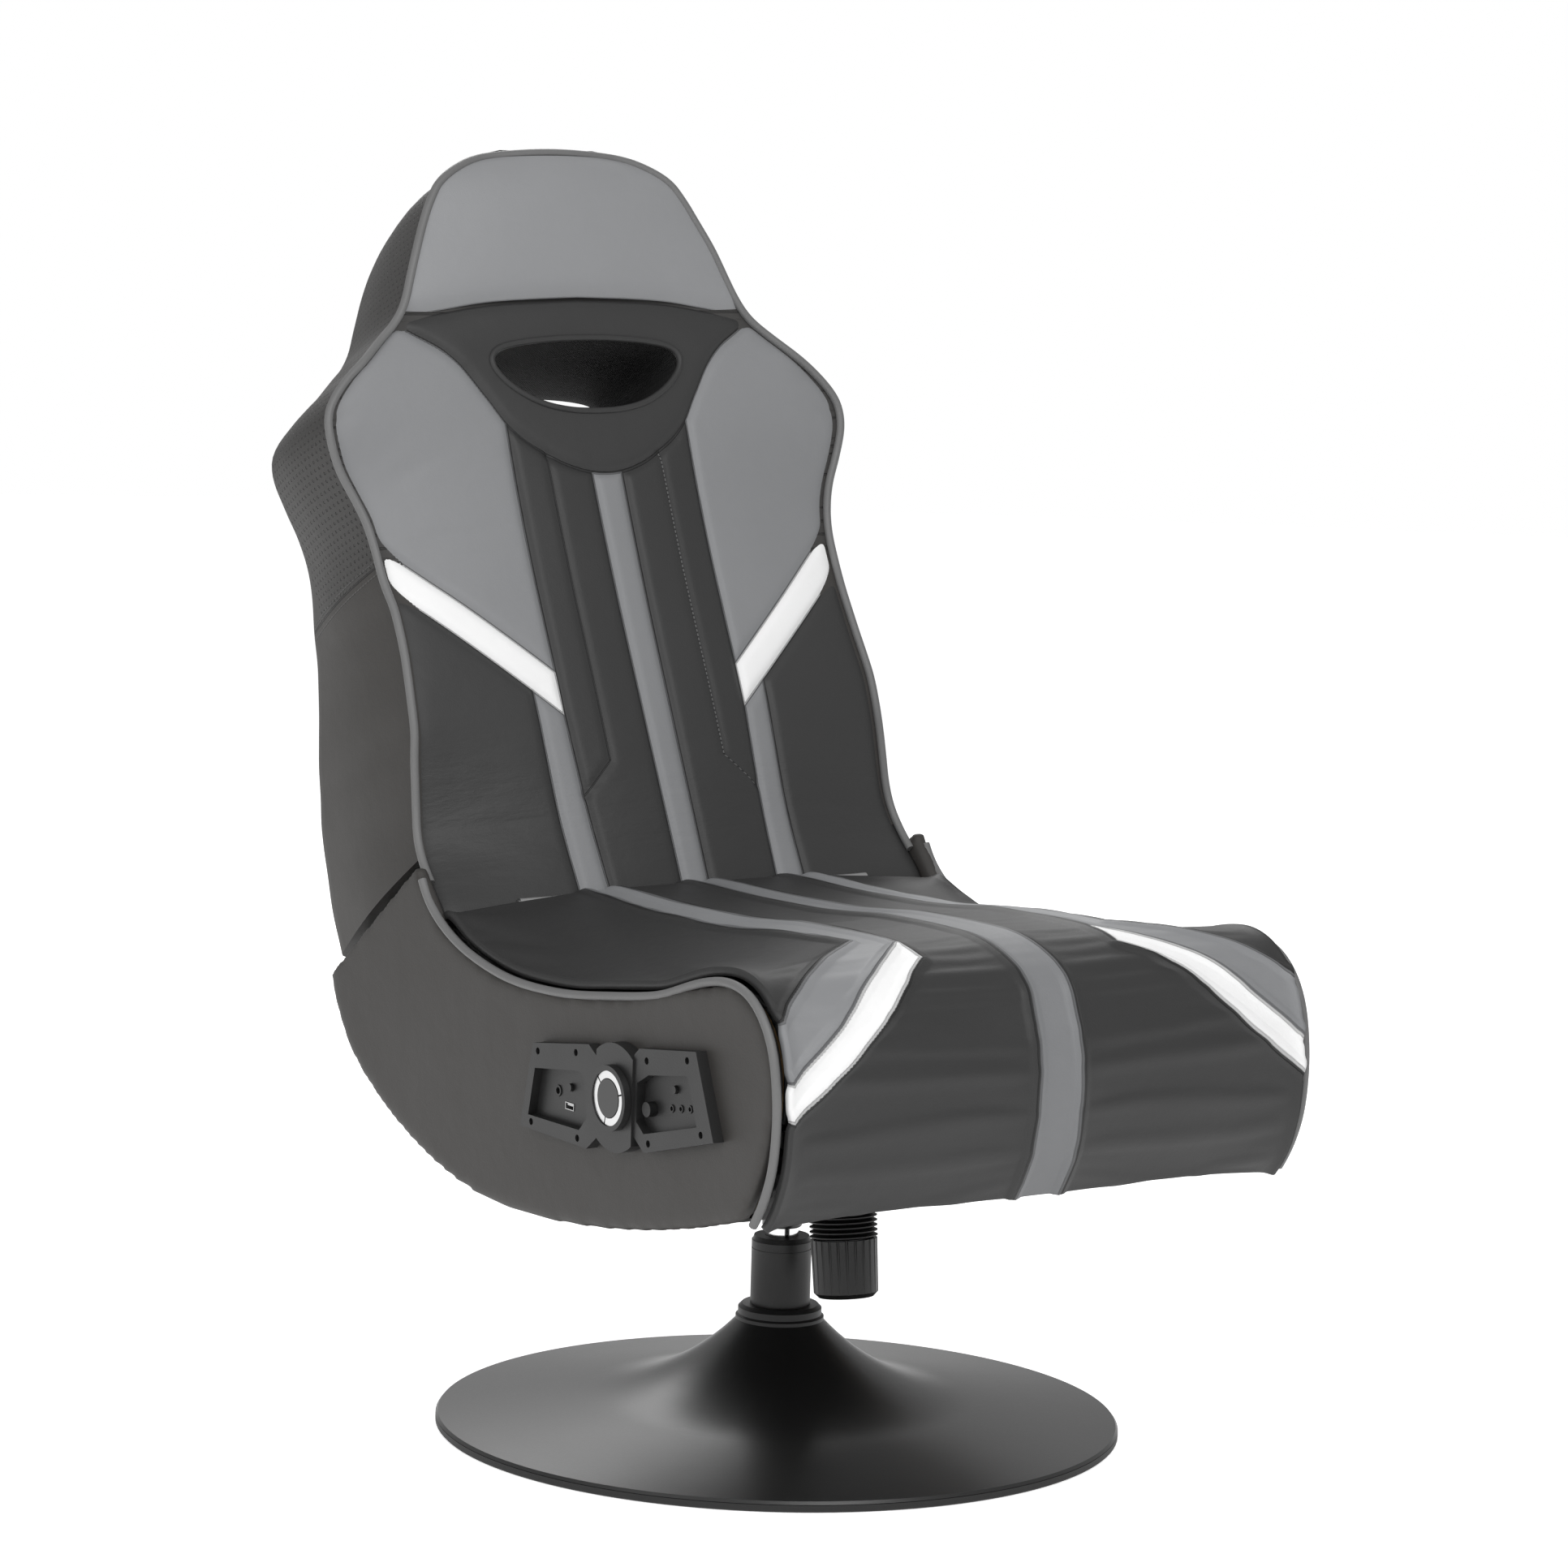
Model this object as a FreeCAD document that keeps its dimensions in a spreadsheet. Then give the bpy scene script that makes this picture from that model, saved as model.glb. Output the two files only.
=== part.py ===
import FreeCAD, Part
import math
import os
import Sketcher
from FreeCAD import Vector

# Gaming rocker chair on a trumpet foot: swivel column, sprung tilt, folding back.
# Millimetres, +Z up, origin on the floor on the column's axis. The chair faces -Y,
# and the control panel is on the sitter's right, at -X.

doc = FreeCAD.newDocument("gaming_rocker_chair")
sheet = doc.addObject("Spreadsheet::Sheet", "Sizes")


class Size:
    """A number and the spreadsheet expression that gives it."""

    def __init__(self, number, text):
        self.number = float(number)
        self.text = text

    def join(self, other, sign, number, swap=False):
        other_text = other.text if isinstance(other, Size) else repr(float(other))
        first, second = (other_text, self.text) if swap else (self.text, other_text)
        return Size(number, "(" + first + " " + sign + " " + second + ")")

    def __float__(self):
        return self.number

    def __add__(self, other):
        return self.join(other, "+", self.number + float(other))

    def __radd__(self, other):
        return self.join(other, "+", self.number + float(other), swap=True)

    def __sub__(self, other):
        return self.join(other, "-", self.number - float(other))

    def __rsub__(self, other):
        return self.join(other, "-", float(other) - self.number, swap=True)

    def __mul__(self, other):
        return self.join(other, "*", self.number * float(other))

    def __rmul__(self, other):
        return self.join(other, "*", self.number * float(other), swap=True)

    def __truediv__(self, other):
        return self.join(other, "/", self.number / float(other))

    def __neg__(self):
        return self * -1


row = 0


def size(alias, number):
    """Write one driving dimension in the sheet and return it."""
    global row
    row += 1
    sheet.set("A%d" % row, alias)
    sheet.set("B%d" % row, repr(float(number)))
    sheet.setAlias("B%d" % row, alias)
    return Size(number, "Sizes." + alias)


# Clearances
gap = size("gap", 0.3)
fit_gap = size("fit_gap", 0.5)

# Foot and column
foot_radius = size("foot_radius", 290)
foot_wall = size("foot_wall", 3)
neck_radius = size("neck_radius", 37)
neck_top = size("neck_top", 92)
flare_radius = size("flare_radius", 214)
flare_end_radius = size("flare_end_radius", 165)
flare_end_height = size("flare_end_height", 26)
rim_height = size("rim_height", 6.5)
trim_height = size("trim_height", 6)
trim_width = size("trim_width", 7)
hub_radius = size("hub_radius", 28)
hub_wall = size("hub_wall", 2.2)
hub_bottom = size("hub_bottom", 8)
web_thickness = size("web_thickness", 3)
web_radius = size("web_radius", 150)
collar_radius = size("collar_radius", 35.5)
collar_height = size("collar_height", 13)
sleeve_radius = size("sleeve_radius", 25.4)
sleeve_wall = size("sleeve_wall", 2)
sleeve_top = size("sleeve_top", 160)
bush_height = size("bush_height", 4)
rod_radius = size("rod_radius", 14)
rod_bottom = size("rod_bottom", 26)
rod_top = size("rod_top", 176)
bearing_radius = size("bearing_radius", 21)
bearing_height = size("bearing_height", 8)
clip_height = size("clip_height", 1.6)
clip_width = size("clip_width", 3.4)
seat_step = size("seat_step", 12)
race_width = size("race_width", 7)
groove_depth = size("groove_depth", 1.5)

# Tilt mechanism under the seat
socket_radius = size("socket_radius", 17)
socket_bottom = size("socket_bottom", 172)
bracket_bottom = size("bracket_bottom", 212)
bracket_wall = size("bracket_wall", 3)
bracket_width = size("bracket_width", 90)
bracket_depth = size("bracket_depth", 24)
bracket_front = size("bracket_front", 122)
bracket_rear = size("bracket_rear", 48)
axle_y = size("axle_y", 14)
axle_z = size("axle_z", 228)
axle_radius = size("axle_radius", 6)
plate_bottom = size("plate_bottom", 239)
plate_thickness = size("plate_thickness", 3)
plate_width = size("plate_width", 200)
plate_depth = size("plate_depth", 240)
ear_height = size("ear_height", 20)
ear_width = size("ear_width", 34)
bolt_radius = size("bolt_radius", 4)
bolt_head_radius = size("bolt_head_radius", 7.5)
bolt_head_height = size("bolt_head_height", 5)
knob_y = size("knob_y", -88)
knob_radius = size("knob_radius", 28)
knob_height = size("knob_height", 49)
knob_bottom = size("knob_bottom", 130)
knob_wall = size("knob_wall", 3)
flute_count = size("flute_count", 24)
flute_depth = size("flute_depth", 1.2)
bellows_radius = size("bellows_radius", 28.5)
bellows_valley = size("bellows_valley", 24.5)
bellows_bore = size("bellows_bore", 22)
bellows_ridges = size("bellows_ridges", 7)
spring_radius = size("spring_radius", 20)
spring_wire = size("spring_wire", 4)

# Seat
seat_half_width = size("seat_half_width", 262)
gusset_thickness = size("gusset_thickness", 14)
board_thickness = size("board_thickness", 12)
base_board_thickness = size("base_board_thickness", 14)
piping_radius = size("piping_radius", 3.5)
crease_y = size("crease_y", 144)
crease_z = size("crease_z", 441)
seat_crown_z = size("seat_crown_z", 458)
seat_dip_z = size("seat_dip_z", 396)
nose_y = size("nose_y", -377)
nose_side_y = size("nose_side_y", -366)
skirt_z = size("skirt_z", 206)
belly_z = size("belly_z", 236)
rear_tip_y = size("rear_tip_y", 321)
rear_tip_z = size("rear_tip_z", 361)
wing_top_y = size("wing_top_y", 178)
wing_top_z = size("wing_top_z", 471)
bed_y = size("bed_y", 218)
bed_z = size("bed_z", 427)
cover_thickness = size("cover_thickness", 2)
channel_width = size("channel_width", 2.4)
channel_depth = size("channel_depth", 2)
stripe_half = size("stripe_half", 14)
side_stripe_in = size("side_stripe_in", 88)
side_stripe_out = size("side_stripe_out", 116)

# Back, in its own upright frame: origin on the crease, X across, Z up the back
recline = size("recline", 25.5)
hinge_y = size("hinge_y", 147)
hinge_z = size("hinge_z", 439)
knuckle_radius = size("knuckle_radius", 3.6)
leaf_thickness = size("leaf_thickness", 1.5)
leaf_width = size("leaf_width", 30)
hinge_length = size("hinge_length", 96)
hinge_offset = size("hinge_offset", 130)
pad_depth = size("pad_depth", 62)
head_seam = size("head_seam", 527)
back_top = size("back_top", 672)
shoulder_half_width = size("shoulder_half_width", 263)
waist_half_width = size("waist_half_width", 233)
back_wall = size("back_wall", 16)
fold_gap = size("fold_gap", 10)
slot_half_width = size("slot_half_width", 100)
slot_middle = size("slot_middle", 485)
slot_top = size("slot_top", 504)
slot_bottom = size("slot_bottom", 437)
liner_wall = size("liner_wall", 3)
speaker_radius = size("speaker_radius", 18)
woofer_radius = size("woofer_radius", 48)
stop_bolt_radius = size("stop_bolt_radius", 4)

# Control panel on the side of the seat
panel_thickness = size("panel_thickness", 10)
panel_floor = size("panel_floor", 2)
dial_y = size("dial_y", -160)
dial_z = size("dial_z", 333)
boss_radius = size("boss_radius", 44)
dial_radius = size("dial_radius", 26.5)
dial_height = size("dial_height", 6)
ring_radius = size("ring_radius", 22)
cap_radius = size("cap_radius", 15.5)
button_travel = size("button_travel", 1.5)
jack_radius = size("jack_radius", 3)
screw_radius = size("screw_radius", 2.6)

# Panel features in Y and Z: pockets behind the bays, and the eight screws
PANEL_POCKETS = [(-108.0, -44.0, 302.0, 338.0), (-266.0, -198.0, 320.0, 358.0)]
PANEL_SCREWS = [
    (-41.0, 350.5), (-99.0, 359.0), (-33.0, 291.0), (-104.0, 290.0),
    (-204.0, 370.0), (-262.0, 380.0), (-284.0, 325.0), (-209.0, 304.5),
]

nodes = {}


def bind(item, prop, amount):
    """Set a property from the sheet, or to a plain number."""
    if isinstance(amount, Size):
        item.setExpression(prop, amount.text)
    else:
        target = item
        steps = prop.split(".")
        for step in steps[:-1]:
            target = getattr(target, step)
        setattr(target, steps[-1], amount)


def put(item, x=0, y=0, z=0):
    """Place an item at a point given in sizes."""
    item.Placement = FreeCAD.Placement(Vector(float(x), float(y), float(z)), item.Placement.Rotation)
    for axis, amount in (("x", x), ("y", y), ("z", z)):
        if isinstance(amount, Size):
            item.setExpression("Placement.Base." + axis, amount.text)
    return item


def turn(item, axis, angle):
    """Turn an item about its own origin by an angle in degrees."""
    item.Placement.Rotation = FreeCAD.Rotation(axis, float(angle))
    if isinstance(angle, Size):
        item.setExpression("Placement.Rotation.Angle", angle.text)
    return item


def lean(item):
    """Carry an item from the back's upright frame to its place on the chair."""
    put(item, 0, crease_y, crease_z)
    return turn(item, Vector(-1, 0, 0), recline)


def node(name, item):
    """Name a finished sub-part."""
    item.Label = name
    nodes[name] = item
    return item


def block(name, length, width, height, x, y, z):
    """A box with its lowest corner at x, y, z."""
    item = doc.addObject("Part::Box", name)
    bind(item, "Length", length)
    bind(item, "Width", width)
    bind(item, "Height", height)
    return put(item, x, y, z)


def rod(name, radius, height, x, y, z, along="z"):
    """A cylinder that starts at x, y, z and runs along one axis."""
    item = doc.addObject("Part::Cylinder", name)
    bind(item, "Radius", radius)
    bind(item, "Height", height)
    if along == "x":
        item.Placement.Rotation = FreeCAD.Rotation(Vector(0, 1, 0), 90)
    return put(item, x, y, z)


def tube(name, radius, wall, height, x, y, z, along="z"):
    """A round tube with a wall inside its radius."""
    outer = rod(name + "_outer", radius, height, x, y, z, along)
    bore = rod(name + "_bore", radius - wall, height, x, y, z, along)
    return cut(name, outer, [bore])


def join(name, items):
    item = doc.addObject("Part::MultiFuse", name)
    item.Shapes = items
    item.Refine = True
    return item


def group(name, items):
    item = doc.addObject("Part::Compound", name)
    item.Links = items
    return item


def cut(name, base, tools):
    item = doc.addObject("Part::Cut", name)
    item.Base = base
    item.Tool = tools[0] if len(tools) == 1 else join(name + "_tools", tools)
    return item


def plane_of(body, role):
    return [item for item in body.Origin.OriginFeatures if item.Role == role][0]


def outline(body, role, points):
    """A closed sketch on an origin plane; a third value in a point is an arc radius to the next."""
    sketch = body.newObject("Sketcher::SketchObject", body.Name + "_sketch")
    sketch.AttachmentSupport = [(plane_of(body, role), "")]
    sketch.MapMode = "FlatFace"
    count = len(points)
    spots = [Vector(float(point[0]), float(point[1]), 0) for point in points]
    ends = []
    for index, point in enumerate(points):
        start = spots[index]
        end = spots[(index + 1) % count]
        if len(point) > 2:
            bulge = float(point[2])
            half = (end - start) * 0.5
            rise = math.sqrt(bulge * bulge - half.Length ** 2)
            left = Vector(-half.y, half.x, 0).normalize()
            centre = start + half + left * math.copysign(rise, bulge)
            middle = centre + (start + half - centre).normalize() * abs(bulge)
            if bulge > 0:
                sketch.addGeometry(Part.Arc(start, middle, end), False)
                ends.append((1, 2))
            else:
                sketch.addGeometry(Part.Arc(end, middle, start), False)
                ends.append((2, 1))
        else:
            sketch.addGeometry(Part.LineSegment(start, end), False)
            ends.append((1, 2))
    for index, point in enumerate(points):
        following = (index + 1) % count
        sketch.addConstraint(
            Sketcher.Constraint("Coincident", index, ends[index][1], following, ends[following][0])
        )
        if len(point) > 2:
            fix(sketch, Sketcher.Constraint("Radius", index, abs(float(point[2]))), abs_size(point[2]))
        for kind, amount in (("DistanceX", point[0]), ("DistanceY", point[1])):
            fix(sketch, Sketcher.Constraint(kind, -1, 1, index, ends[index][0], float(amount)), amount)
    return sketch


def abs_size(amount):
    return -amount if float(amount) < 0 else amount


def fix(sketch, constraint, amount):
    number = sketch.addConstraint(constraint)
    if isinstance(amount, Size):
        sketch.setExpression("Constraints[%d]" % number, amount.text)


def turned(name, points):
    """A body turned about Z from an outline of radius and height."""
    body = doc.addObject("PartDesign::Body", name)
    sketch = outline(body, "XZ_Plane", points)
    turning = body.newObject("PartDesign::Revolution", name + "_turning")
    turning.Profile = sketch
    turning.ReferenceAxis = (sketch, ["V_Axis"])
    turning.Angle = 360
    return body


def padded(name, role, points, length, both_ways=False, reverse=False):
    """A body padded from an outline on an origin plane."""
    body = doc.addObject("PartDesign::Body", name)
    sketch = outline(body, role, points)
    pad = body.newObject("PartDesign::Pad", name + "_pad")
    pad.Profile = sketch
    bind(pad, "Length", length)
    pad.Midplane = both_ways
    pad.Reversed = reverse
    return body


def solid(name, shape, upright=False):
    """A sub-part whose shape is made with lofts or sweeps."""
    item = doc.addObject("Part::Feature", name)
    item.Shape = shape
    if upright:
        lean(item)
    return item


def arc(start, end, sag, towards):
    """An arc between two points that bows by sag towards a direction, or a line."""
    if abs(sag) < 0.05:
        return Part.LineSegment(start, end).toShape()
    middle = (start + end) * 0.5 + towards * sag
    return Part.Arc(start, middle, end).toShape()


# Foot: a spun steel trumpet with a welded hub tube and a web under it
inner_neck = neck_radius - foot_wall
foot = turned("base_trumpet", [
    (neck_radius, neck_top, flare_radius),
    (flare_end_radius, flare_end_height),
    (foot_radius - 2, rim_height + 2.5),
    (foot_radius, rim_height),
    (foot_radius - foot_wall, rim_height),
    (flare_end_radius, flare_end_height - foot_wall, -(flare_radius + foot_wall)),
    (inner_neck, neck_top - 1),
])
node("base_trumpet", foot)
rim_trim = turned("base_rim_trim", [
    (foot_radius - trim_width, 0),
    (foot_radius - 1, 0),
    (foot_radius, 1),
    (foot_radius, trim_height),
    (foot_radius - trim_width, trim_height),
])
node("base_rim_trim", rim_trim)
hub = tube("hub", hub_radius, hub_wall, neck_top - hub_bottom, 0, 0, hub_bottom)
node("base_hub_tube", hub)
web_points = [
    (hub_radius, hub_bottom),
    (web_radius, hub_bottom),
    (web_radius + 8, flare_end_height - foot_wall - 4),
    (web_radius + 8 - web_thickness, flare_end_height - foot_wall - 4),
    (web_radius - web_thickness, hub_bottom + web_thickness),
    (hub_radius, hub_bottom + web_thickness),
]
node("base_hub_web", turned("base_hub_web", web_points))
collar = turned("base_collar", [
    (sleeve_radius, neck_top),
    (collar_radius + 2, neck_top),
    (collar_radius + 2, neck_top + 3),
    (collar_radius, neck_top + 4.5),
    (collar_radius, neck_top + collar_height - 3),
    (collar_radius - 3, neck_top + collar_height),
    (sleeve_radius, neck_top + collar_height),
])
node("base_collar", collar)

# Column: outer sleeve with a bush at its mouth, and the rod that turns in it
sleeve_bottom = hub_bottom + web_thickness
sleeve = tube("sleeve", sleeve_radius, sleeve_wall, sleeve_top - sleeve_bottom, 0, 0, sleeve_bottom)
groove = tube("sleeve_groove", sleeve_radius + 1, groove_depth, 1.2, 0, 0, sleeve_top - 7)
node("column_sleeve", cut("column_sleeve", sleeve, [groove]))
bush_outer = sleeve_radius - sleeve_wall
bush_bore = rod_radius + gap
bush = turned("column_bush", [
    (bush_bore, sleeve_top - 40),
    (bush_outer, sleeve_top - 40),
    (bush_outer, sleeve_top),
    (sleeve_radius - 0.6, sleeve_top),
    (sleeve_radius - 2, sleeve_top + bush_height),
    (bush_bore, sleeve_top + bush_height),
])
node("column_bush", bush)
node("bearing_seat", tube("bearing_seat", bush_outer, seat_step, 8, 0, 0, rod_bottom - 10))
node("thrust_bearing", tube("thrust_bearing", bearing_radius, race_width, bearing_height,
                            0, 0, rod_bottom - 2))
shoulder_z = rod_bottom - 2 + bearing_height
piston = turned("piston_rod", [
    (0, rod_bottom - 14),
    (rod_radius - 4.5, rod_bottom - 14),
    (rod_radius - 4.5, shoulder_z),
    (rod_radius + 4, shoulder_z),
    (rod_radius + 4, shoulder_z + 6),
    (rod_radius, shoulder_z + 6),
    (rod_radius, rod_top - 2),
    (rod_radius - 1.5, rod_top + 28),
    (0, rod_top + 28),
])
node("piston_rod", piston)
clip = tube("retaining_clip", rod_radius - 1, clip_width, clip_height, 0, 0, rod_bottom - 13)
node("retaining_clip", clip)

# Tilt mechanism: socket and channel on the column, plate with ears on the seat
bracket_top = bracket_bottom + bracket_depth
socket_bore = rod_radius + gap
socket = turned("tilt_socket", [
    (socket_bore, socket_bottom),
    (socket_radius - 1, socket_bottom),
    (socket_radius, socket_bottom + 1),
    (socket_radius, bracket_bottom),
    (socket_bore, bracket_bottom),
])
node("tilt_socket", socket)
bracket_blank = padded("bracket_blank", "YZ_Plane", [
    (-bracket_front, bracket_bottom),
    (bracket_rear, bracket_bottom),
    (bracket_rear, bracket_bottom + bracket_depth / 2),
    (axle_y + 8, bracket_top),
    (-bracket_front, bracket_top),
], bracket_width, both_ways=True)
channel = block("bracket_channel", bracket_width - bracket_wall * 2, bracket_front + bracket_rear + 2,
                bracket_depth, bracket_wall - bracket_width / 2, -bracket_front - 1,
                bracket_bottom + bracket_wall)
bracket_bore = rod("bracket_axle_bore", axle_radius + gap, bracket_width + 2,
                   -bracket_width / 2 - 1, axle_y, axle_z, "x")
bolt_slot = rod("bracket_bolt_slot", 15, bracket_wall + 2, 0, knob_y - 5, bracket_bottom - 1)
node("tilt_bracket", cut("tilt_bracket", bracket_blank, [channel, bracket_bore, bolt_slot]))
axle_length = bracket_width + 12
axle = rod("axle_shaft", axle_radius, axle_length, -axle_length / 2, axle_y, axle_z, "x")
axle_heads = [
    rod("axle_head_left", axle_radius + 3, 4, -axle_length / 2, axle_y, axle_z, "x"),
    rod("axle_head_right", axle_radius + 3, 4, axle_length / 2 - 4, axle_y, axle_z, "x"),
]
node("tilt_axle", join("tilt_axle", [axle] + axle_heads))
stop_pads = []
for side in (-1, 1):
    stop_pads.append(block("stop_pad_%d" % (side + 2), 12, 14, plate_bottom - bracket_top - gap,
                           side * (bracket_width / 2 - 6) - 6, -bracket_front + 2, bracket_top))
node("tilt_stop_pads", group("tilt_stop_pads", stop_pads))

plate_top = plate_bottom + plate_thickness
plate_front = -bracket_front - 12
plate = block("plate_sheet", plate_width, plate_depth, plate_thickness, -plate_width / 2,
              plate_front, plate_bottom)
ear_x = bracket_width / 2 - bracket_wall - fit_gap
ears = [
    block("plate_ear_left", bracket_wall, ear_width, ear_height, -ear_x, axle_y - ear_width / 2,
          plate_bottom - ear_height + 1),
    block("plate_ear_right", bracket_wall, ear_width, ear_height, ear_x - bracket_wall,
          axle_y - ear_width / 2, plate_bottom - ear_height + 1),
]
plate_bore = rod("plate_axle_bore", axle_radius + gap, bracket_width, -bracket_width / 2,
                 axle_y, axle_z, "x")
plate_holes = [rod("plate_bolt_slot", 12, plate_thickness + 2, 0, knob_y, plate_bottom - 1)]
bolts = []
board_holes = []
bolt_bottom = plate_bottom - bolt_head_height
bolt_length = bolt_head_height + plate_thickness + base_board_thickness
for side in (-1, 1):
    for place, bolt_y in (("front", plate_front + 20), ("rear", plate_front + plate_depth - 20)):
        label = "%s_%d" % (place, side + 2)
        bolt_x = side * (plate_width / 2 - 20)
        plate_holes.append(rod("plate_hole_" + label, bolt_radius + gap, plate_thickness + 2,
                               bolt_x, bolt_y, plate_bottom - 1))
        board_holes.append(rod("board_hole_" + label, bolt_radius + gap, base_board_thickness + 2,
                               bolt_x, bolt_y, plate_top - 1))
        shank = rod("bolt_shank_" + label, bolt_radius, bolt_length, bolt_x, bolt_y, bolt_bottom)
        head = rod("bolt_head_" + label, bolt_head_radius, bolt_head_height - gap, bolt_x, bolt_y,
                   bolt_bottom)
        bolts.append(join("plate_bolt_" + label, [shank, head]))
node("seat_plate", cut("seat_plate", join("plate_with_ears", [plate] + ears),
                       [plate_bore] + plate_holes))
node("plate_bolts", group("plate_bolts", bolts))

# Tension knob: a screw hangs from the plate, the spring works against the channel
knob_lean = size("knob_lean", 7)


def hang(item, dy=0):
    """Carry an item from the knob's own frame to its place under the channel."""
    put(item, 0, knob_y + dy, bracket_bottom)
    return turn(item, Vector(-1, 0, 0), knob_lean)


bellows_top = -(bellows_radius * math.tan(math.radians(float(knob_lean)))) - fit_gap
bellows_bottom = knob_bottom + knob_height - bracket_bottom
screw = turned("tension_screw", [
    (0, bellows_bottom - knob_height + 4),
    (5, bellows_bottom - knob_height + 4),
    (5, plate_top - bracket_bottom + 1.5),
    (11, plate_top - bracket_bottom + 1.5),
    (8, plate_top - bracket_bottom + 6),
    (0, plate_top - bracket_bottom + 6),
])
node("tension_screw", hang(screw))
cup_floor = bellows_bottom - knob_height
knob_inner = knob_radius - knob_wall
knob_blank = turned("knob_blank", [
    (5 + gap, cup_floor),
    (knob_radius - 5, cup_floor),
    (knob_radius - 1, cup_floor + 4),
    (knob_radius, bellows_bottom - gap),
    (knob_inner, bellows_bottom - gap),
    (knob_inner, cup_floor + 8),
    (5 + gap, cup_floor + 8),
])
flutes = []
for index in range(int(float(flute_count))):
    angle = math.radians(360.0 / float(flute_count) * index)
    flutes.append(rod("knob_flute_%d" % index, flute_depth, knob_height,
                      knob_radius * math.cos(angle), knob_radius * math.sin(angle), cup_floor + 3))
node("tension_knob", hang(cut("tension_knob", knob_blank, flutes)))
washer = turned("spring_washer", [
    (5 + gap, cup_floor + 8 + gap),
    (spring_radius, cup_floor + 8 + gap),
    (spring_radius, cup_floor + 10),
    (5 + gap, cup_floor + 10),
])
node("spring_washer", hang(washer))
spring_shape = turned("tension_spring", [
    (spring_radius - spring_wire, cup_floor + 10 + gap),
    (spring_radius, cup_floor + 10 + gap),
    (spring_radius, bellows_top - 3),
    (spring_radius - spring_wire, bellows_top - 3),
])
node("tension_spring", hang(spring_shape))


def ring_wire(radius, z):
    return Part.Wire(Part.makeCircle(float(radius), Vector(0, 0, float(z))))


bellows_low = float(bellows_bottom + gap)
bellows_pitch = (float(bellows_top) - bellows_low) / float(bellows_ridges)
bellows_rings = []
for index in range(int(float(bellows_ridges))):
    start = bellows_low + index * bellows_pitch
    bellows_rings.append(ring_wire(bellows_valley, start))
    bellows_rings.append(ring_wire(bellows_radius, start + bellows_pitch * 0.35))
    bellows_rings.append(ring_wire(bellows_radius, start + bellows_pitch * 0.55))
bellows_rings.append(ring_wire(bellows_valley, float(bellows_top)))
bellows_outer = Part.makeLoft(bellows_rings, True, True)
bellows_hole = Part.makeCylinder(float(bellows_bore), float(bellows_top) - bellows_low,
                                 Vector(0, 0, bellows_low))
bellows = solid("tension_bellows", bellows_outer.cut(bellows_hole))
node("tension_bellows", hang(bellows))


# Seat envelope: one closed side profile, drawn at stations from the middle to the sides
def mix(middle, side, share):
    return float(middle) + (float(side) - float(middle)) * share


def profile_points(share, wing):
    """Corners of the seat's outline in Y and Z; share is 0 on the middle line and 1 at the side.

    The side covers rise to a wing beside the back, and the cushion dips to a bed under it.
    """
    top = (wing_top_y, wing_top_z) if wing else (bed_y, bed_z)
    return [
        (float(top[0]), float(top[1])),
        (mix(crease_y + 5, crease_y - 3, share), mix(crease_z - 5, crease_z - 12, share)),
        (mix(-20, 0, share), mix(crease_z + 2, seat_dip_z, share)),
        (mix(-160, -159, share), mix(seat_crown_z - 3, seat_dip_z + 17, share)),
        (mix(nose_y + 77, nose_side_y + 63, share), mix(seat_crown_z - 1, seat_crown_z - 12, share)),
        (mix(nose_y, nose_side_y, share), mix(seat_crown_z - 92, seat_crown_z - 88, share)),
        (mix(nose_y + 28, nose_side_y + 41, share), mix(seat_crown_z - 189, skirt_z + 57, share)),
        (20.0, mix(belly_z, skirt_z + 1, share)),
        (float(rear_tip_y) - 62, mix(belly_z + 54, skirt_z + 71, share)),
        (float(rear_tip_y), float(rear_tip_z) - 4),
    ]


# How far each stretch of that outline bows outwards, in the middle and at the side
PROFILE_BOWS = [(0.3, 0.3), (1, -8), (1.5, -3), (3, 1), (27, 20), (10, 10), (6, 12), (17, 17), (9, 9), (0.3, 0.3)]


def profile_edges(x, share, wing=False):
    points = profile_points(share, wing)
    edges = []
    for index, start in enumerate(points):
        end = points[(index + 1) % len(points)]
        along = Vector(0, end[0] - start[0], end[1] - start[1])
        outwards = Vector(0, along.z, -along.y).normalize()
        middle_bow, side_bow = PROFILE_BOWS[index]
        edges.append(arc(Vector(x, *start), Vector(x, *end), mix(middle_bow, side_bow, share), outwards))
    return edges


def profile_wire(x, share, wing=False):
    return Part.Wire(profile_edges(x, share, wing))


inside = float(seat_half_width - gusset_thickness - gap)
board_inside = float(seat_half_width - gusset_thickness - board_thickness - gap)
SEAT_STATIONS = [(1.0, 0.96), (0.9, 0.66), (0.62, 0.18), (0.32, 0.03)]
stations = [(-inside * place, share) for place, share in SEAT_STATIONS]
stations += [(0.0, 0.0)]
stations += [(inside * place, share) for place, share in reversed(SEAT_STATIONS)]
seat_envelope = Part.makeLoft([profile_wire(x, share) for x, share in stations], True, False)


def side_prism(x_start, x_end, inset=0.0, wing=False):
    """A slab between two X planes with the seat's side outline, drawn in by an inset."""
    wire = profile_wire(x_start, 1.0, wing)
    if inset:
        wire = wire.makeOffset2D(-inset)
    return Part.Face(wire).extrude(Vector(x_end - x_start, 0, 0))


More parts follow.
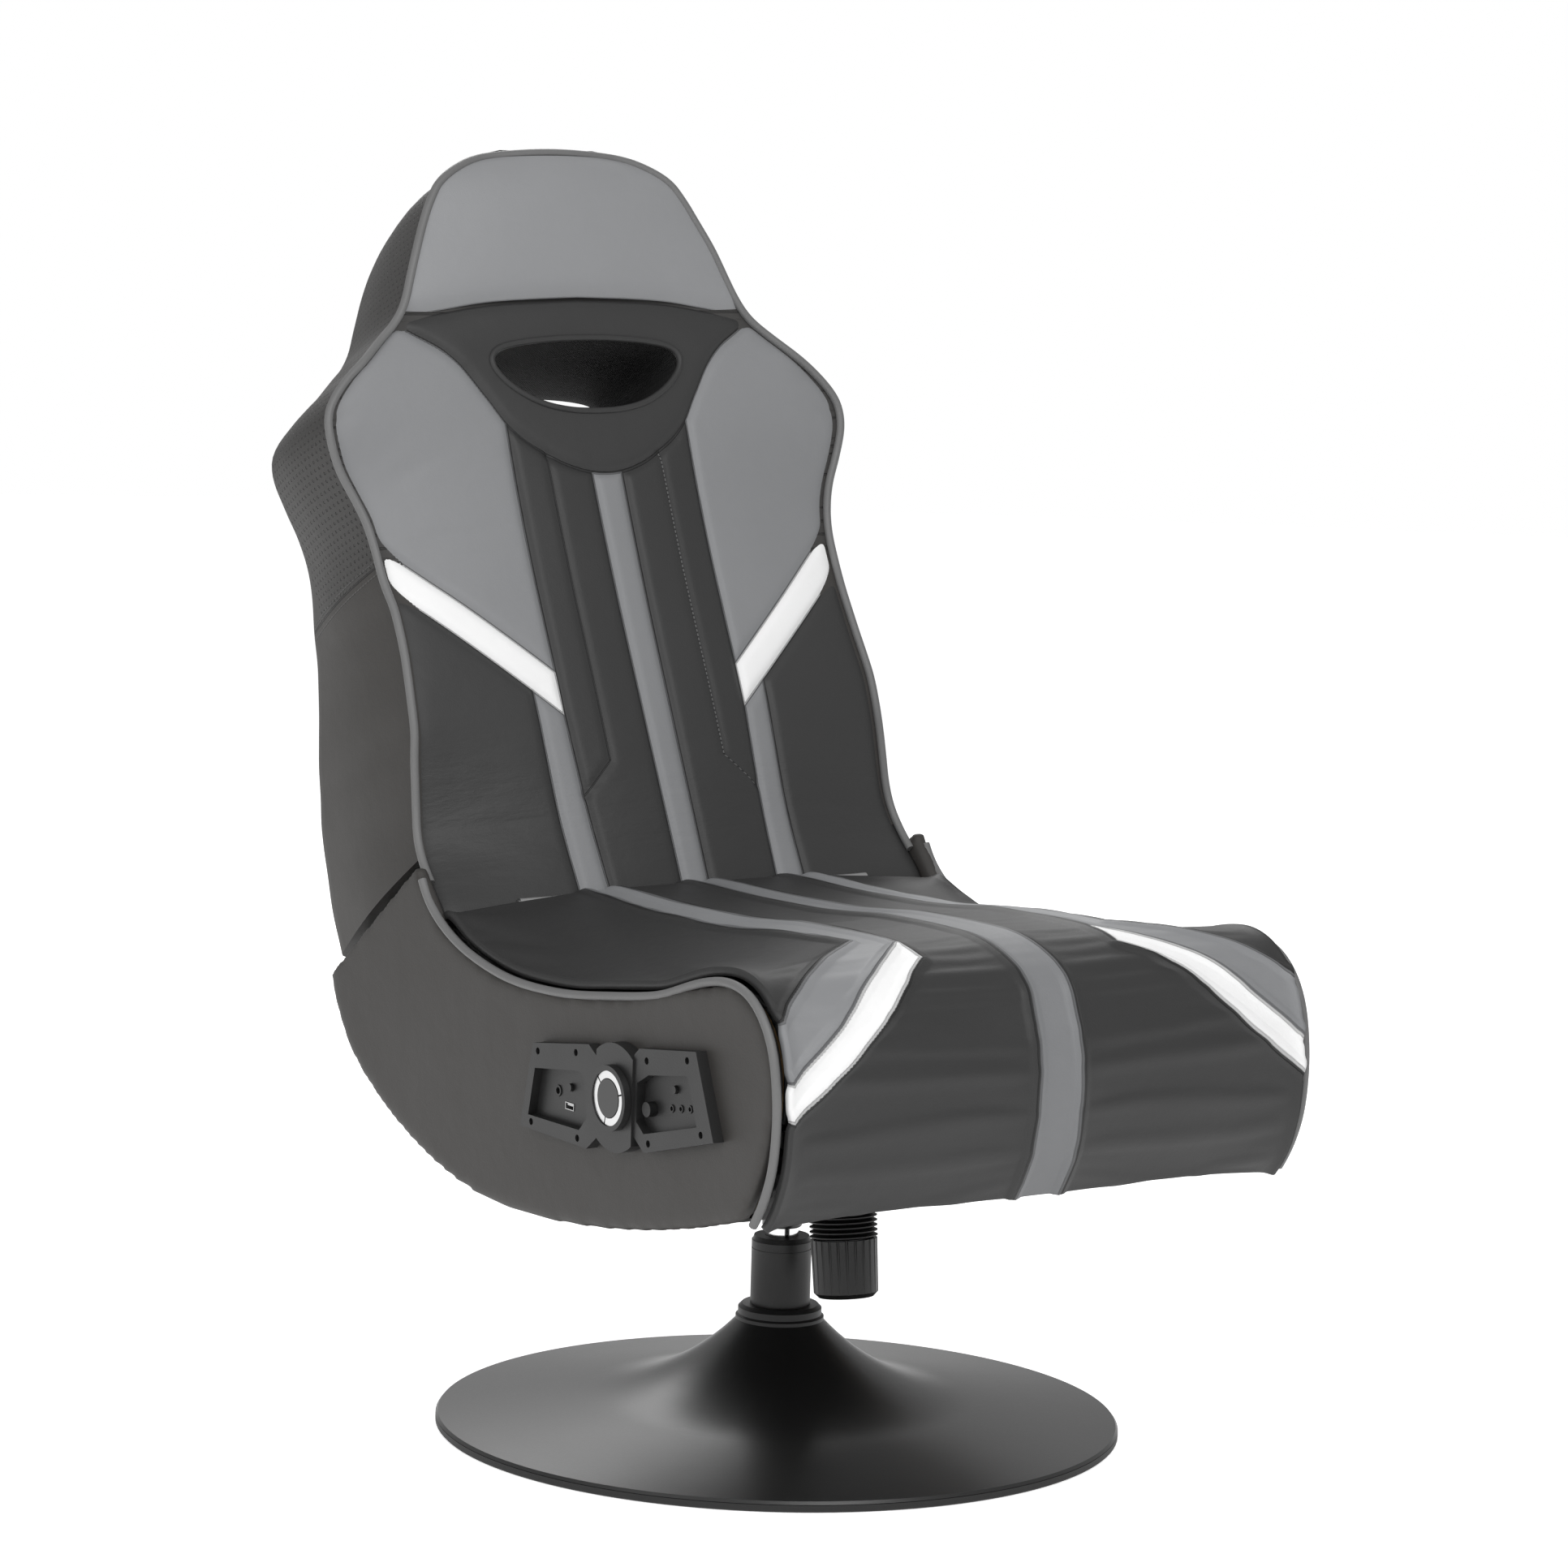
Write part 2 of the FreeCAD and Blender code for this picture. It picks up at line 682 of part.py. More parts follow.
board_inset = size("board_inset", 9)
cavity_front = size("cavity_front", -202)
cavity_rear = size("cavity_rear", 130)
deck_z = size("deck_z", 340)
outer_x = float(seat_half_width)
cover_x = float(seat_half_width - gusset_thickness)
board_x = float(seat_half_width - gusset_thickness - board_thickness)
cavity = Part.makeBox(board_inside * 2, float(cavity_rear - cavity_front), 200,
                      Vector(-board_inside, float(cavity_front), float(deck_z) - 200))
board_slots = [
    side_prism(side * board_inside, side * (cover_x + 1), float(board_inset) - 0.3)
    for side in (-1, 1)
]
cushion_shape = seat_envelope.cut([cavity] + board_slots)



# Sewn channels beside the three stripes of the seat, and the hollow for the fold hinge
def seat_channel(x, share):
    wire = profile_wire(x - float(channel_width) / 2, share)
    outer = Part.Face(wire.makeOffset2D(3.0))
    inner = Part.Face(wire.makeOffset2D(-float(channel_depth)))
    band = outer.cut(inner).extrude(Vector(float(channel_width), 0, 0))
    return band.common(Part.makeBox(1000, 1000, 400, Vector(-500, -860, 272)))


channel_lines = [(stripe_half, 0.003), (side_stripe_in, 0.04), (side_stripe_out, 0.06)]
channels = []
for line, share in channel_lines:
    for side in (-1, 1):
        channels.append(seat_channel(side * float(line), share))
hinge_hollow = Part.makeCylinder(float(knuckle_radius) + 0.6, 2 * inside,
                                 Vector(-inside, float(hinge_y), float(hinge_z)), Vector(1, 0, 0))
crease_cut = Part.Face(Part.makePolygon([
    Vector(-inside, float(hinge_y) + 4, float(hinge_z) - 6),
    Vector(-inside, float(hinge_y) - 14, float(hinge_z) + 1.5),
    Vector(-inside, float(hinge_y) + 2, float(hinge_z) + 1.5),
    Vector(-inside, float(hinge_y) + 4, float(hinge_z) - 6),
])).extrude(Vector(2 * inside, 0, 0))
cushion_shape = cushion_shape.cut(channels + [hinge_hollow, crease_cut])
seat_cushion = solid("seat_cushion", cushion_shape)
node("seat_cushion", seat_cushion)
pocket_depth = float(gusset_thickness + board_thickness) + 4
side_bores = []
for low_y, high_y, low_z, high_z in PANEL_POCKETS:
    side_bores.append(Part.makeBox(pocket_depth, high_y - low_y, high_z - low_z,
                                   Vector(-outer_x - 1, low_y, low_z)))
side_bores.append(Part.makeCylinder(20, pocket_depth, Vector(-outer_x - 1, float(dial_y), float(dial_z)),
                                    Vector(1, 0, 0)))
for screw_y, screw_z in PANEL_SCREWS:
    side_bores.append(Part.makeCylinder(float(screw_radius + gap), pocket_depth,
                                        Vector(-outer_x - 1, screw_y, screw_z), Vector(1, 0, 0)))
side_boards = []
for side, place in ((-1, "right"), (1, "left")):
    cover_shape = side_prism(side * cover_x, side * outer_x, wing=True)
    board_shape = side_prism(side * board_x, side * cover_x, float(board_inset))
    if side < 0:
        cover_shape = cover_shape.cut(side_bores)
        board_shape = board_shape.cut(side_bores)
    node("seat_side_cover_" + place, solid("seat_side_cover_" + place, cover_shape))
    side_boards.append(board_shape)
node("seat_side_boards", solid("seat_side_boards", Part.makeCompound(side_boards)))
ring = profile_wire(-outer_x + float(gusset_thickness) / 2, 1.0, wing=True).makeOffset2D(float(piping_radius + gap))
kept = []
for edge in ring.OrderedEdges:
    centre = edge.valueAt((edge.FirstParameter + edge.LastParameter) / 2)
    if centre.y < float(wing_top_y) + 3 and centre.z > float(skirt_z) + 57:
        kept.append(edge)


def ring_at(centre, heading, sideways, radius):
    circle = Part.Circle(centre, heading, radius)
    circle.XAxis = sideways
    return Part.Wire(circle.toShape())


piping_runs = max(Part.sortEdges(kept), key=lambda run: sum(edge.Length for edge in run))
piping_line = Part.Wire(piping_runs).discretize(Number=90)
seat_rings = []
for index, centre in enumerate(piping_line):
    before = piping_line[max(index - 1, 0)]
    after = piping_line[min(index + 1, len(piping_line) - 1)]
    seat_rings.append(ring_at(centre, (after - before).normalize(), Vector(1, 0, 0), float(piping_radius)))
piping = Part.makeLoft(seat_rings, True, True)
node("seat_piping_right", solid("seat_piping_right", piping))
node("seat_piping_left", solid("seat_piping_left", piping.mirror(Vector(0, 0, 0), Vector(1, 0, 0))))

board_front_y = cavity_front + gap
board_span = (seat_half_width - gusset_thickness - board_thickness - gap) * 2
base_board = block("base_board_sheet", board_span, cavity_rear - cavity_front - gap * 2,
                   base_board_thickness, -board_span / 2, board_front_y, plate_top)
screw_hole = rod("base_board_screw_hole", 14, base_board_thickness + 2, 0, knob_y, plate_top - 1)
node("base_board", cut("base_board", base_board, board_holes + [screw_hole]))
board_top = plate_top + base_board_thickness
rail_height = deck_z - board_top - gap
cross_boards = [
    block("front_cross_board", board_span, board_thickness, rail_height, -board_span / 2,
          board_front_y, board_top),
    block("rear_cross_board", board_span, board_thickness, rail_height, -board_span / 2,
          cavity_rear - gap - board_thickness, board_top),
]
node("cross_boards", group("cross_boards", cross_boards))
strap_width = size("strap_width", 52)
strap_count = size("strap_count", 4)
strap_length = cavity_rear - cavity_front - board_thickness * 2 - gap * 4
straps = []
for index in range(int(float(strap_count))):
    share = (index + 0.5) / float(strap_count)
    straps.append(block("strap_%d" % index, board_span, strap_width, 2, -board_span / 2,
                        board_front_y + board_thickness + gap + strap_length * share - strap_width / 2,
                        deck_z - gap - 2))
node("seat_webbing", group("seat_webbing", straps))
under_cover = block("under_sheet", board_span, cavity_rear - cavity_front - gap * 2, cover_thickness,
                    -board_span / 2, board_front_y, plate_top - cover_thickness)
under_window = block("under_window", plate_width + 4, plate_depth + 4, cover_thickness + 2,
                     -plate_width / 2 - 2, plate_front - 2, plate_top - cover_thickness - 1)
node("underside_cover", cut("underside_cover", under_cover, [under_window]))

# Back envelope in its upright frame. Each station: height up the back, half width, depth of the
# front edges, depth of the front middle, depth of the rear, share of the width at the rear.
BACK_STATIONS = [
    (-40.0, 246.0, 8.0, 0.0, 214.0, 0.97),
    (20.0, 247.0, 14.0, 0.0, 215.0, 0.97),
    (70.0, 245.0, 24.0, 0.0, 214.0, 0.97),
    (135.0, float(waist_half_width) + 6, 20.0, 0.0, 206.0, 0.96),
    (230.0, float(waist_half_width), 12.0, 0.0, 178.0, 0.95),
    (300.0, float(waist_half_width), 20.0, -2.0, 160.0, 0.95),
    (350.0, float(shoulder_half_width) - 25, 20.0, -3.0, 153.0, 0.95),
    (396.0, float(shoulder_half_width) - 7, 15.0, -5.0, 148.0, 0.95),
    (432.0, float(shoulder_half_width), 5.0, -7.0, 141.0, 0.94),
    (458.0, float(shoulder_half_width) - 9, 0.0, -9.0, 134.0, 0.93),
    (488.0, 221.0, -4.0, -11.0, 124.0, 0.92),
    (522.0, 184.0, -4.0, -14.0, 112.0, 0.92),
    (565.0, 160.0, -11.0, -26.0, 97.0, 0.92),
    (612.0, 140.0, -17.0, -34.0, 76.0, 0.90),
    (650.0, 112.0, -22.0, -35.0, 50.0, 0.86),
    (float(back_top), 64.0, -19.0, -27.0, 16.0, 0.80),
]


def back_wire(station, inset=0.0):
    """One level section of the back: crowned front, drawn-in sides and a flatter rear."""
    height, half, edge_depth, front, rear, share = station
    half -= inset
    edge_depth += inset
    front += inset
    rear -= inset
    rear_half = half * share
    left_front = Vector(-half, edge_depth, height)
    right_front = Vector(half, edge_depth, height)
    left_rear = Vector(-rear_half, rear - 16, height)
    right_rear = Vector(rear_half, rear - 16, height)
    forward = Vector(0, -1, 0)
    return Part.Wire([
        arc(left_front, right_front, edge_depth - front, forward),
        arc(right_front, right_rear, 4.0, Vector(-1, 0, 0)),
        arc(right_rear, left_rear, 16.0, Vector(0, 1, 0)),
        arc(left_rear, left_front, 4.0, Vector(1, 0, 0)),
    ])


back_envelope = Part.makeLoft([back_wire(station) for station in BACK_STATIONS], True, False)

# The back ends below on a slanted facet that lies over the seat's rear facet
to_upright = FreeCAD.Placement(Vector(0, float(crease_y), float(crease_z)),
                               FreeCAD.Rotation(Vector(-1, 0, 0), float(recline))).inverse()
facet_top = to_upright.multVec(Vector(0, float(wing_top_y), float(wing_top_z)))
facet_low = to_upright.multVec(Vector(0, float(rear_tip_y), float(rear_tip_z)))
facet_along = (facet_low - facet_top).normalize()
facet_up = Vector(0, -facet_along.z, facet_along.y)
if facet_up.z < 0:
    facet_up = facet_up * -1
big = 700.0
pad_heel = Vector(0, 70.0, 24.0)
facet_start = facet_top + facet_up * float(fold_gap)
below_facet = Part.Face(Part.makePolygon([
    pad_heel,
    facet_start + facet_along * (pad_heel.y + 5 - facet_start.y),
    facet_start + facet_along * big,
    facet_start + facet_along * big - Vector(0, 0, big),
    Vector(0, -big, facet_start.z - big),
    Vector(0, -big, 2.0),
    Vector(0, 2.0, 2.0),
    pad_heel,
])).extrude(Vector(2 * big, 0, 0))
below_facet.translate(Vector(-big, 0, 0))
back_whole = back_envelope.cut(below_facet)


def slab(depth_start, depth_end, low, high):
    return Part.makeBox(2 * big, depth_end - depth_start, high - low, Vector(-big, depth_start, low))


def slot_prism(grow):
    """The head slot, square to the back, grown all round."""
    half = float(slot_half_width) + grow
    level = float(slot_middle)
    wire = Part.Wire([
        arc(Vector(-half, -big, level), Vector(half, -big, level), float(slot_top) - level + grow,
            Vector(0, 0, 1)),
        arc(Vector(half, -big, level), Vector(-half, -big, level), level - float(slot_bottom) + grow,
            Vector(0, 0, -1)),
    ])
    return Part.Face(wire).extrude(Vector(0, 2 * big, 0))


split = float(pad_depth)
seam = float(head_seam)


def front_depth(station, x):
    """Depth of the crowned front at a distance from the middle."""
    half, edge_depth, front = station[1:4]
    return front + (edge_depth - front) * (x / half) ** 2


def back_channel(x, low, high):
    """A sewn channel that runs up the front of the back."""
    frames = []
    for station in BACK_STATIONS:
        if low - 60 <= station[0] <= high + 60:
            depth = front_depth(station, x)
            corners = [
                Vector(x - float(channel_width) / 2, depth - 12, station[0]),
                Vector(x + float(channel_width) / 2, depth - 12, station[0]),
                Vector(x, depth + float(channel_depth), station[0]),
            ]
            frames.append(Part.makePolygon(corners + corners[:1]))
    return Part.makeLoft(frames, True, True).common(slab(-big, big, low, high))


vee_tip = 382.0
stripe_low = 60.0
stripe_split = 186.0
back_channels = []
for side in (-1, 1):
    back_channels.append(back_channel(side * float(stripe_half), stripe_low, vee_tip))
    back_channels.append(back_channel(side * float(side_stripe_in), stripe_low, vee_tip + 30))
    back_channels.append(back_channel(side * float(side_stripe_out), stripe_low, stripe_split))
cushion_front = back_whole.common(slab(-big, split, -big, seam))
local_hinge = to_upright.multVec(Vector(0, float(hinge_y), float(hinge_z)))
pad_hollow = Part.makeCylinder(float(knuckle_radius) + 0.6, 2 * big, Vector(-big, local_hinge.y, local_hinge.z),
                               Vector(1, 0, 0))
cushion_front = cushion_front.cut(back_channels + [slot_prism(float(gap)), pad_hollow])
head_front = back_whole.common(slab(-big, split, seam + float(gap), big))
node("back_cushion", solid("back_cushion", cushion_front, upright=True))
node("headrest_cushion", solid("headrest_cushion", head_front, upright=True))

# Grey piping up one front edge, over the top and down the other
piping_r = float(piping_radius)
piping_out = (piping_r + 0.8) * math.sqrt(0.5)
edge_points = [Vector(half, depth, height) for height, half, depth in
               [station[:3] for station in BACK_STATIONS]]
top_station = BACK_STATIONS[-1]
left_points = [Vector(-point.x, point.y, point.z) for point in edge_points]
corner_line = Part.BSplineCurve()
corner_line.interpolate(left_points + [Vector(0, top_station[3], top_station[0])] + edge_points[::-1])
corner_line = corner_line.toShape().discretize(Number=80)
piping_rings = []
for index, corner in enumerate(corner_line):
    before = corner_line[max(index - 1, 0)]
    after = corner_line[min(index + 1, len(corner_line) - 1)]
    heading = (after - before).normalize()
    outwards = Vector(-heading.z, 0, heading.x).normalize()
    centre = corner + outwards * piping_out - Vector(0, piping_out, 0)
    piping_rings.append(ring_at(centre, heading, outwards, piping_r))
back_piping = Part.makeLoft(piping_rings, True, True).common(slab(-big, big, 60.0, big)).cut(back_envelope)
node("back_piping", solid("back_piping", back_piping, upright=True))

# The rear case is a padded shell over the back board, the side speakers and the woofer
board_depth = split + float(board_thickness)
board_half = 200.0
board_low = 80.0
board_high = 400.0
room_low = 66.0
room_high = 416.0
woofer_level = 250.0
woofer_tilt = size("woofer_tilt", 14)
case_inner = Part.makeLoft([back_wire(station, float(back_wall)) for station in BACK_STATIONS[:12]],
                           True, False).cut(below_facet)
case_room = case_inner.common(slab(board_depth, big, room_low, room_high))
board_bed = Part.makeBox(board_half * 2 + 1, float(board_thickness) + 1, board_high - board_low + 1,
                         Vector(-board_half - 0.5, split - 0.5, board_low - 0.5))
back_board = Part.makeBox(board_half * 2, float(board_thickness) - float(gap), board_high - board_low,
                          Vector(-board_half, split + float(gap), board_low))
node("back_board", solid("back_board", back_board, upright=True))
woofer_mouth = Vector(0, 172.5, woofer_level)
woofer_out = Vector(0, math.cos(math.radians(float(woofer_tilt))), math.sin(math.radians(float(woofer_tilt))))
woofer_bore = Part.makeCylinder(float(woofer_radius) + float(gap), 40, woofer_mouth - woofer_out * 30, woofer_out)
stop_bores = []
stop_bolts = []
for side in (-1, 1):
    for reach in (112.0, 154.0):
        spot = facet_top + facet_along * reach + Vector(side * 222.0, 0, 0)
        shank = Part.makeCylinder(float(stop_bolt_radius), 34.0, spot + facet_up * 2.0, facet_up)
        head = Part.makeCylinder(float(stop_bolt_radius) + 3, 5.0, spot + facet_up * float(gap), facet_up)
        stop_bolts.append(shank.fuse(head).removeSplitter())
        stop_bores.append(Part.makeCylinder(float(stop_bolt_radius) + float(gap), 40.0,
                                            spot + facet_up * 2.0, facet_up))
node("stop_bolts", solid("stop_bolts", Part.makeCompound(stop_bolts), upright=True))
case_shape = back_whole.common(slab(split + float(gap), big, -big, big))
flange_radius = float(woofer_radius) + 8
flange_bed = Part.makeCylinder(flange_radius + float(gap), 40, woofer_mouth - woofer_out * (2 + float(gap)),
                               woofer_out)
case_shape = case_shape.cut([slot_prism(float(gap)), case_room, board_bed, woofer_bore, flange_bed] + stop_bores)
node("rear_cover", solid("rear_cover", case_shape, upright=True))
liner_rear = 124.0
liner = slot_prism(0.0).cut(slot_prism(-float(liner_wall)))
liner = liner.common(slab(-4.0, liner_rear, -big, big))
node("slot_liner", solid("slot_liner", liner, upright=True))


def turned_solid(profile, place, axis):
    """A solid of revolution from radius and height pairs, set on an axis."""
    points = [Vector(radius, 0, height) for radius, height in profile]
    shape = Part.Face(Part.makePolygon(points + points[:1])).revolve(Vector(), Vector(0, 0, 1), 360)
    return shape.transformed(FreeCAD.Placement(place, FreeCAD.Rotation(Vector(0, 0, 1), axis)).toMatrix(), True)


basket_radius = float(woofer_radius)
woofer = turned_solid([
    (0, -62), (30, -62), (30, -40), (basket_radius - 14, -40), (basket_radius, -14), (basket_radius, -2),
    (flange_radius, 0.6), (flange_radius, 3.6), (basket_radius - 3, 3.6),
    (basket_radius - 6, -3), (16, -24), (0, -20),
], woofer_mouth, woofer_out)
node("woofer", solid("woofer", woofer, upright=True))
grille_radius = basket_radius + 6
grille_holes = [Part.Wire(Part.makeCircle(2.0))]
ring_step = size("grille_ring_step", 7)
grille_rings = int((grille_radius - 5) / float(ring_step))
for ring_number in range(1, grille_rings + 1):
    count = 6 * ring_number
    for index in range(count):
        angle = 2 * math.pi * index / count
        centre = Vector(math.cos(angle), math.sin(angle), 0) * (float(ring_step) * ring_number)
        grille_holes.append(Part.Wire(Part.makeCircle(2.0, centre)))
grille_face = Part.makeFace([Part.Wire(Part.makeCircle(grille_radius))] + grille_holes,
                            "Part::FaceMakerBullseye")
grille = grille_face.extrude(Vector(0, 0, 1.6))
grille_place = FreeCAD.Placement(woofer_mouth + woofer_out * (3.6 + float(gap)),
                                 FreeCAD.Rotation(Vector(0, 0, 1), woofer_out))
grille = grille.transformed(grille_place.toMatrix(), True)
node("woofer_grille", solid("woofer_grille", grille, upright=True))
speaker_level = 372.0
speaker_out = 178.0
side_speakers = []
for side in (-1, 1):
    mouth = Vector(side * speaker_out, board_depth + float(speaker_radius) + 4.5, speaker_level)
    driver = turned_solid([
        (0, -34), (13, -34), (13, -22), (float(speaker_radius) - 8, -22), (float(speaker_radius) - 2, -3),
        (float(speaker_radius) + 4, -3), (float(speaker_radius) + 4, 0), (float(speaker_radius) - 4, 0),
        (8, -12), (0, -10),
    ], mouth, Vector(side, 0, 0))
    foot_plate = Part.makeBox(3, 30, 44, Vector(side * (speaker_out - 4) - 1.5, board_depth, speaker_level - 22))
    foot_bore = Part.makeCylinder(float(speaker_radius) - 3, 8, Vector(side * (speaker_out - 8), mouth.y, speaker_level),
                                  Vector(side, 0, 0))
    side_speakers.append(driver.fuse(foot_plate.cut(foot_bore)).removeSplitter())
node("side_speakers", solid("side_speakers", Part.makeCompound(side_speakers), upright=True))

# Fold hinges in the crease: a leaf on the seat, a leaf on the back and a pin
leaf_t = float(leaf_thickness)
pin_r = float(knuckle_radius) - 1.8
bed_direction = math.degrees(math.atan2(float(bed_z - crease_z) + 5, float(bed_y - crease_y) - 5))
pad_direction = math.degrees(math.atan2(pad_heel.z - 2, pad_heel.y - 2)) - float(recline)


def leaf(x_start, x_end, direction, offset):
    """A hinge leaf that starts at the knuckle and runs up in a direction given in degrees."""
    plate_shape = Part.makeBox(x_end - x_start, float(leaf_width), leaf_t, Vector(x_start, 0, offset))
    plate_shape.rotate(Vector(), Vector(1, 0, 0), direction)
    plate_shape.translate(Vector(0, float(hinge_y), float(hinge_z)))
    return plate_shape


def knuckle(x_start, x_end, radius):
    return Part.makeCylinder(radius, x_end - x_start, Vector(x_start, float(hinge_y), float(hinge_z)),
                             Vector(1, 0, 0))


seat_leaves = []
back_leaves = []
pins = []
third = float(hinge_length) / 3
for side in (-1, 1):
    middle = side * float(hinge_offset)
    low = middle - float(hinge_length) / 2
    high = middle + float(hinge_length) / 2
    bore = knuckle(low - 1, high + 1, pin_r + 0.2)
    own = [knuckle(low, low + third - 0.3, float(knuckle_radius)),
           knuckle(high - third + 0.3, high, float(knuckle_radius))]
    lower = leaf(low, high, bed_direction, -leaf_t - 0.5)
    gap_zone = knuckle(low + third - 0.3, high - third + 0.3, float(knuckle_radius) + 0.4)
    seat_leaves.append(lower.cut(gap_zone).fuse(own).cut(bore).removeSplitter())
    upper = leaf(low, high, pad_direction, 0.5)
    free_zones = [knuckle(low - 1, low + third, float(knuckle_radius) + 0.4),
                  knuckle(high - third, high + 1, float(knuckle_radius) + 0.4)]
    middle_knuckle = knuckle(low + third, high - third, float(knuckle_radius))
    back_leaves.append(upper.cut(free_zones).fuse(middle_knuckle).cut(bore).removeSplitter())
    pins.append(knuckle(low - 1, high + 1, pin_r))
node("hinge_leaves_seat", solid("hinge_leaves_seat", Part.makeCompound(seat_leaves)))
node("hinge_leaves_back", solid("hinge_leaves_back", Part.makeCompound(back_leaves)))
node("hinge_pins", solid("hinge_pins", Part.makeCompound(pins)))

# Control panel: two wings with a bay each and a round boss between them
face_x = -(seat_half_width + panel_thickness)
wing_left = put(padded("panel_wing_left", "YZ_Plane", [
    (-16, 285), (-118, 284), (-136, 298), (-133, 360), (-118, 369), (-33, 356),
], panel_thickness), face_x)
wing_right = put(padded("panel_wing_right", "YZ_Plane", [
    (-186, 372), (-184, 309), (-203, 296), (-302, 322), (-274, 389), (-193, 378),
], panel_thickness), face_x)
boss_rise = size("boss_rise", 2)
boss_x = face_x - boss_rise
boss_disc = rod("panel_boss_disc", boss_radius, panel_thickness + boss_rise, boss_x, dial_y, dial_z, "x")
boss_half = size("boss_half", 27)
boss_band = block("panel_boss_band", panel_thickness + boss_rise, boss_half * 2, boss_radius * 2,
                  boss_x, dial_y - boss_half, dial_z - boss_radius)
boss = doc.addObject("Part::MultiCommon", "panel_boss")
boss.Shapes = [boss_disc, boss_band]
bay_depth = panel_thickness - panel_floor
bay_left = put(padded("panel_bay_left", "YZ_Plane", [
    (-28, 296), (-106, 297), (-117, 308), (-113, 340), (-105, 345), (-37, 336),
], bay_depth + 1), face_x - 1)
bay_right = put(padded("panel_bay_right", "YZ_Plane", [
    (-191, 350), (-191, 319), (-202, 311), (-278, 330), (-263, 368), (-207, 359),
], bay_depth + 1), face_x - 1)
recess_floor = size("recess_floor", 6)
recess = rod("panel_dial_recess", ring_radius + gap, recess_floor + 1, boss_x - 1, dial_y, dial_z, "x")
panel_tools = [bay_left, bay_right, recess]
panel_tools.append(rod("panel_shaft_bore", 4, panel_thickness + 4, boss_x - 1, dial_y, dial_z, "x"))
screws = []
for index, (screw_y, screw_z) in enumerate(PANEL_SCREWS):
    panel_tools.append(rod("panel_screw_bore_%d" % index, screw_radius + gap, panel_thickness + 4,
                           boss_x - 1, screw_y, screw_z, "x"))
    shank = rod("panel_screw_%d" % index, screw_radius, panel_thickness + 12, face_x + 2.5,
                screw_y, screw_z, "x")
    screws.append(shank)
node("panel_screws", group("panel_screws", screws))
floor_x = -(seat_half_width + panel_floor)
board_face_x = floor_x + 14


def jack(name, y, z, radius, bore):
    """A round socket from the bay floor back to its circuit board."""
    panel_tools.append(rod(name + "_hole", radius + gap, panel_floor + 2, floor_x - 1, y, z, "x"))
    return tube(name, radius, radius - bore, board_face_x - floor_x + 1, floor_x - 1, y, z, "x")


node("dc_jack", jack("dc_jack", -62, 321, size("dc_jack_radius", 4.5), size("dc_jack_bore", 2.8)))
audio_row = [("audio_jack_1", -231, 336), ("audio_jack_2", -244, 338), ("audio_jack_3", -257, 340)]
audio_bore = size("audio_bore", 1.8)
node("audio_jacks", group("audio_jacks", [jack(name, y, z, jack_radius, audio_bore)
                                          for name, y, z in audio_row]))
usb_width = size("usb_width", 13)
usb_height = size("usb_height", 6)
usb_y = -86
usb_z = 308
usb_shell = block("usb_shell", board_face_x - floor_x + 0.6, usb_width, usb_height, floor_x - 0.6,
                  usb_y, usb_z)
usb_mouth = block("usb_mouth", 10, usb_width - 1.4, usb_height - 1.4, floor_x - 1, usb_y + 0.7, usb_z + 0.7)
usb_tongue = block("usb_tongue", 8, usb_width - 4, 1.8, floor_x + 0.4, usb_y + 2, usb_z + usb_height - 2.6)
node("usb_port", join("usb_port", [cut("usb_case", usb_shell, [usb_mouth]), usb_tongue]))
panel_tools.append(block("usb_hole", panel_floor + 2, usb_width + 0.6, usb_height + 0.6, floor_x - 1,
                         usb_y - 0.3, usb_z - 0.3))
pcb_thickness = size("pcb_thickness", 1.6)
pcbs = []
for index, (low_y, high_y, low_z, high_z) in enumerate(PANEL_POCKETS):
    pcbs.append(block("panel_pcb_%d" % index, pcb_thickness, high_y - low_y - 1.0, high_z - low_z - 1.0,
                      board_face_x, low_y + 0.5, low_z + 0.5))
amp_width = 130.0
amp_depth = 90.0
amp_board = block("amp_pcb", amp_width, amp_depth, pcb_thickness, -amp_width - 60, -40, board_top + 6)
amp_posts = []
for post_x in (-amp_width - 54, -66.0):
    for post_y in (-34.0, amp_depth - 46):
        amp_posts.append(rod("amp_post_%d_%d" % (-post_x, post_y + 100), 3, 6, post_x, post_y, board_top))
heat_sink = block("amp_heat_sink", 60, 30, 18, -amp_width - 40, 10, board_top + 6 + pcb_thickness)
pcbs.append(join("amp_assembly", [amp_board, heat_sink] + amp_posts))
node("circuit_boards", group("circuit_boards", pcbs))

bay_button_radius = size("bay_button_radius", 3.2)
for place, button_y, button_z in (("left", -82, 327), ("right", -236, 352)):
    stem_bore = rod("bay_button_bore_" + place, bay_button_radius + gap, panel_floor + 2, floor_x - 1,
                    button_y, button_z, "x")
    panel_tools.append(stem_bore)
    node("bay_button_" + place, rod("bay_button_" + place, bay_button_radius, 9, floor_x - 3,
                                    button_y, button_z, "x"))
tone_y = -204
tone_z = 331
panel_tools.append(rod("tone_shaft_bore", 2.5 + gap, panel_floor + 2, floor_x - 1, tone_y, tone_z, "x"))
tone_parts = [
    rod("tone_cap", 6, 7, floor_x - 7.3, tone_y, tone_z, "x"),
    rod("tone_shaft", 2.5, 12, floor_x - 1, tone_y, tone_z, "x"),
]
node("tone_knob", join("tone_knob", tone_parts))
node("control_panel", cut("control_panel", join("panel_blank", [wing_left, wing_right, boss]), panel_tools))

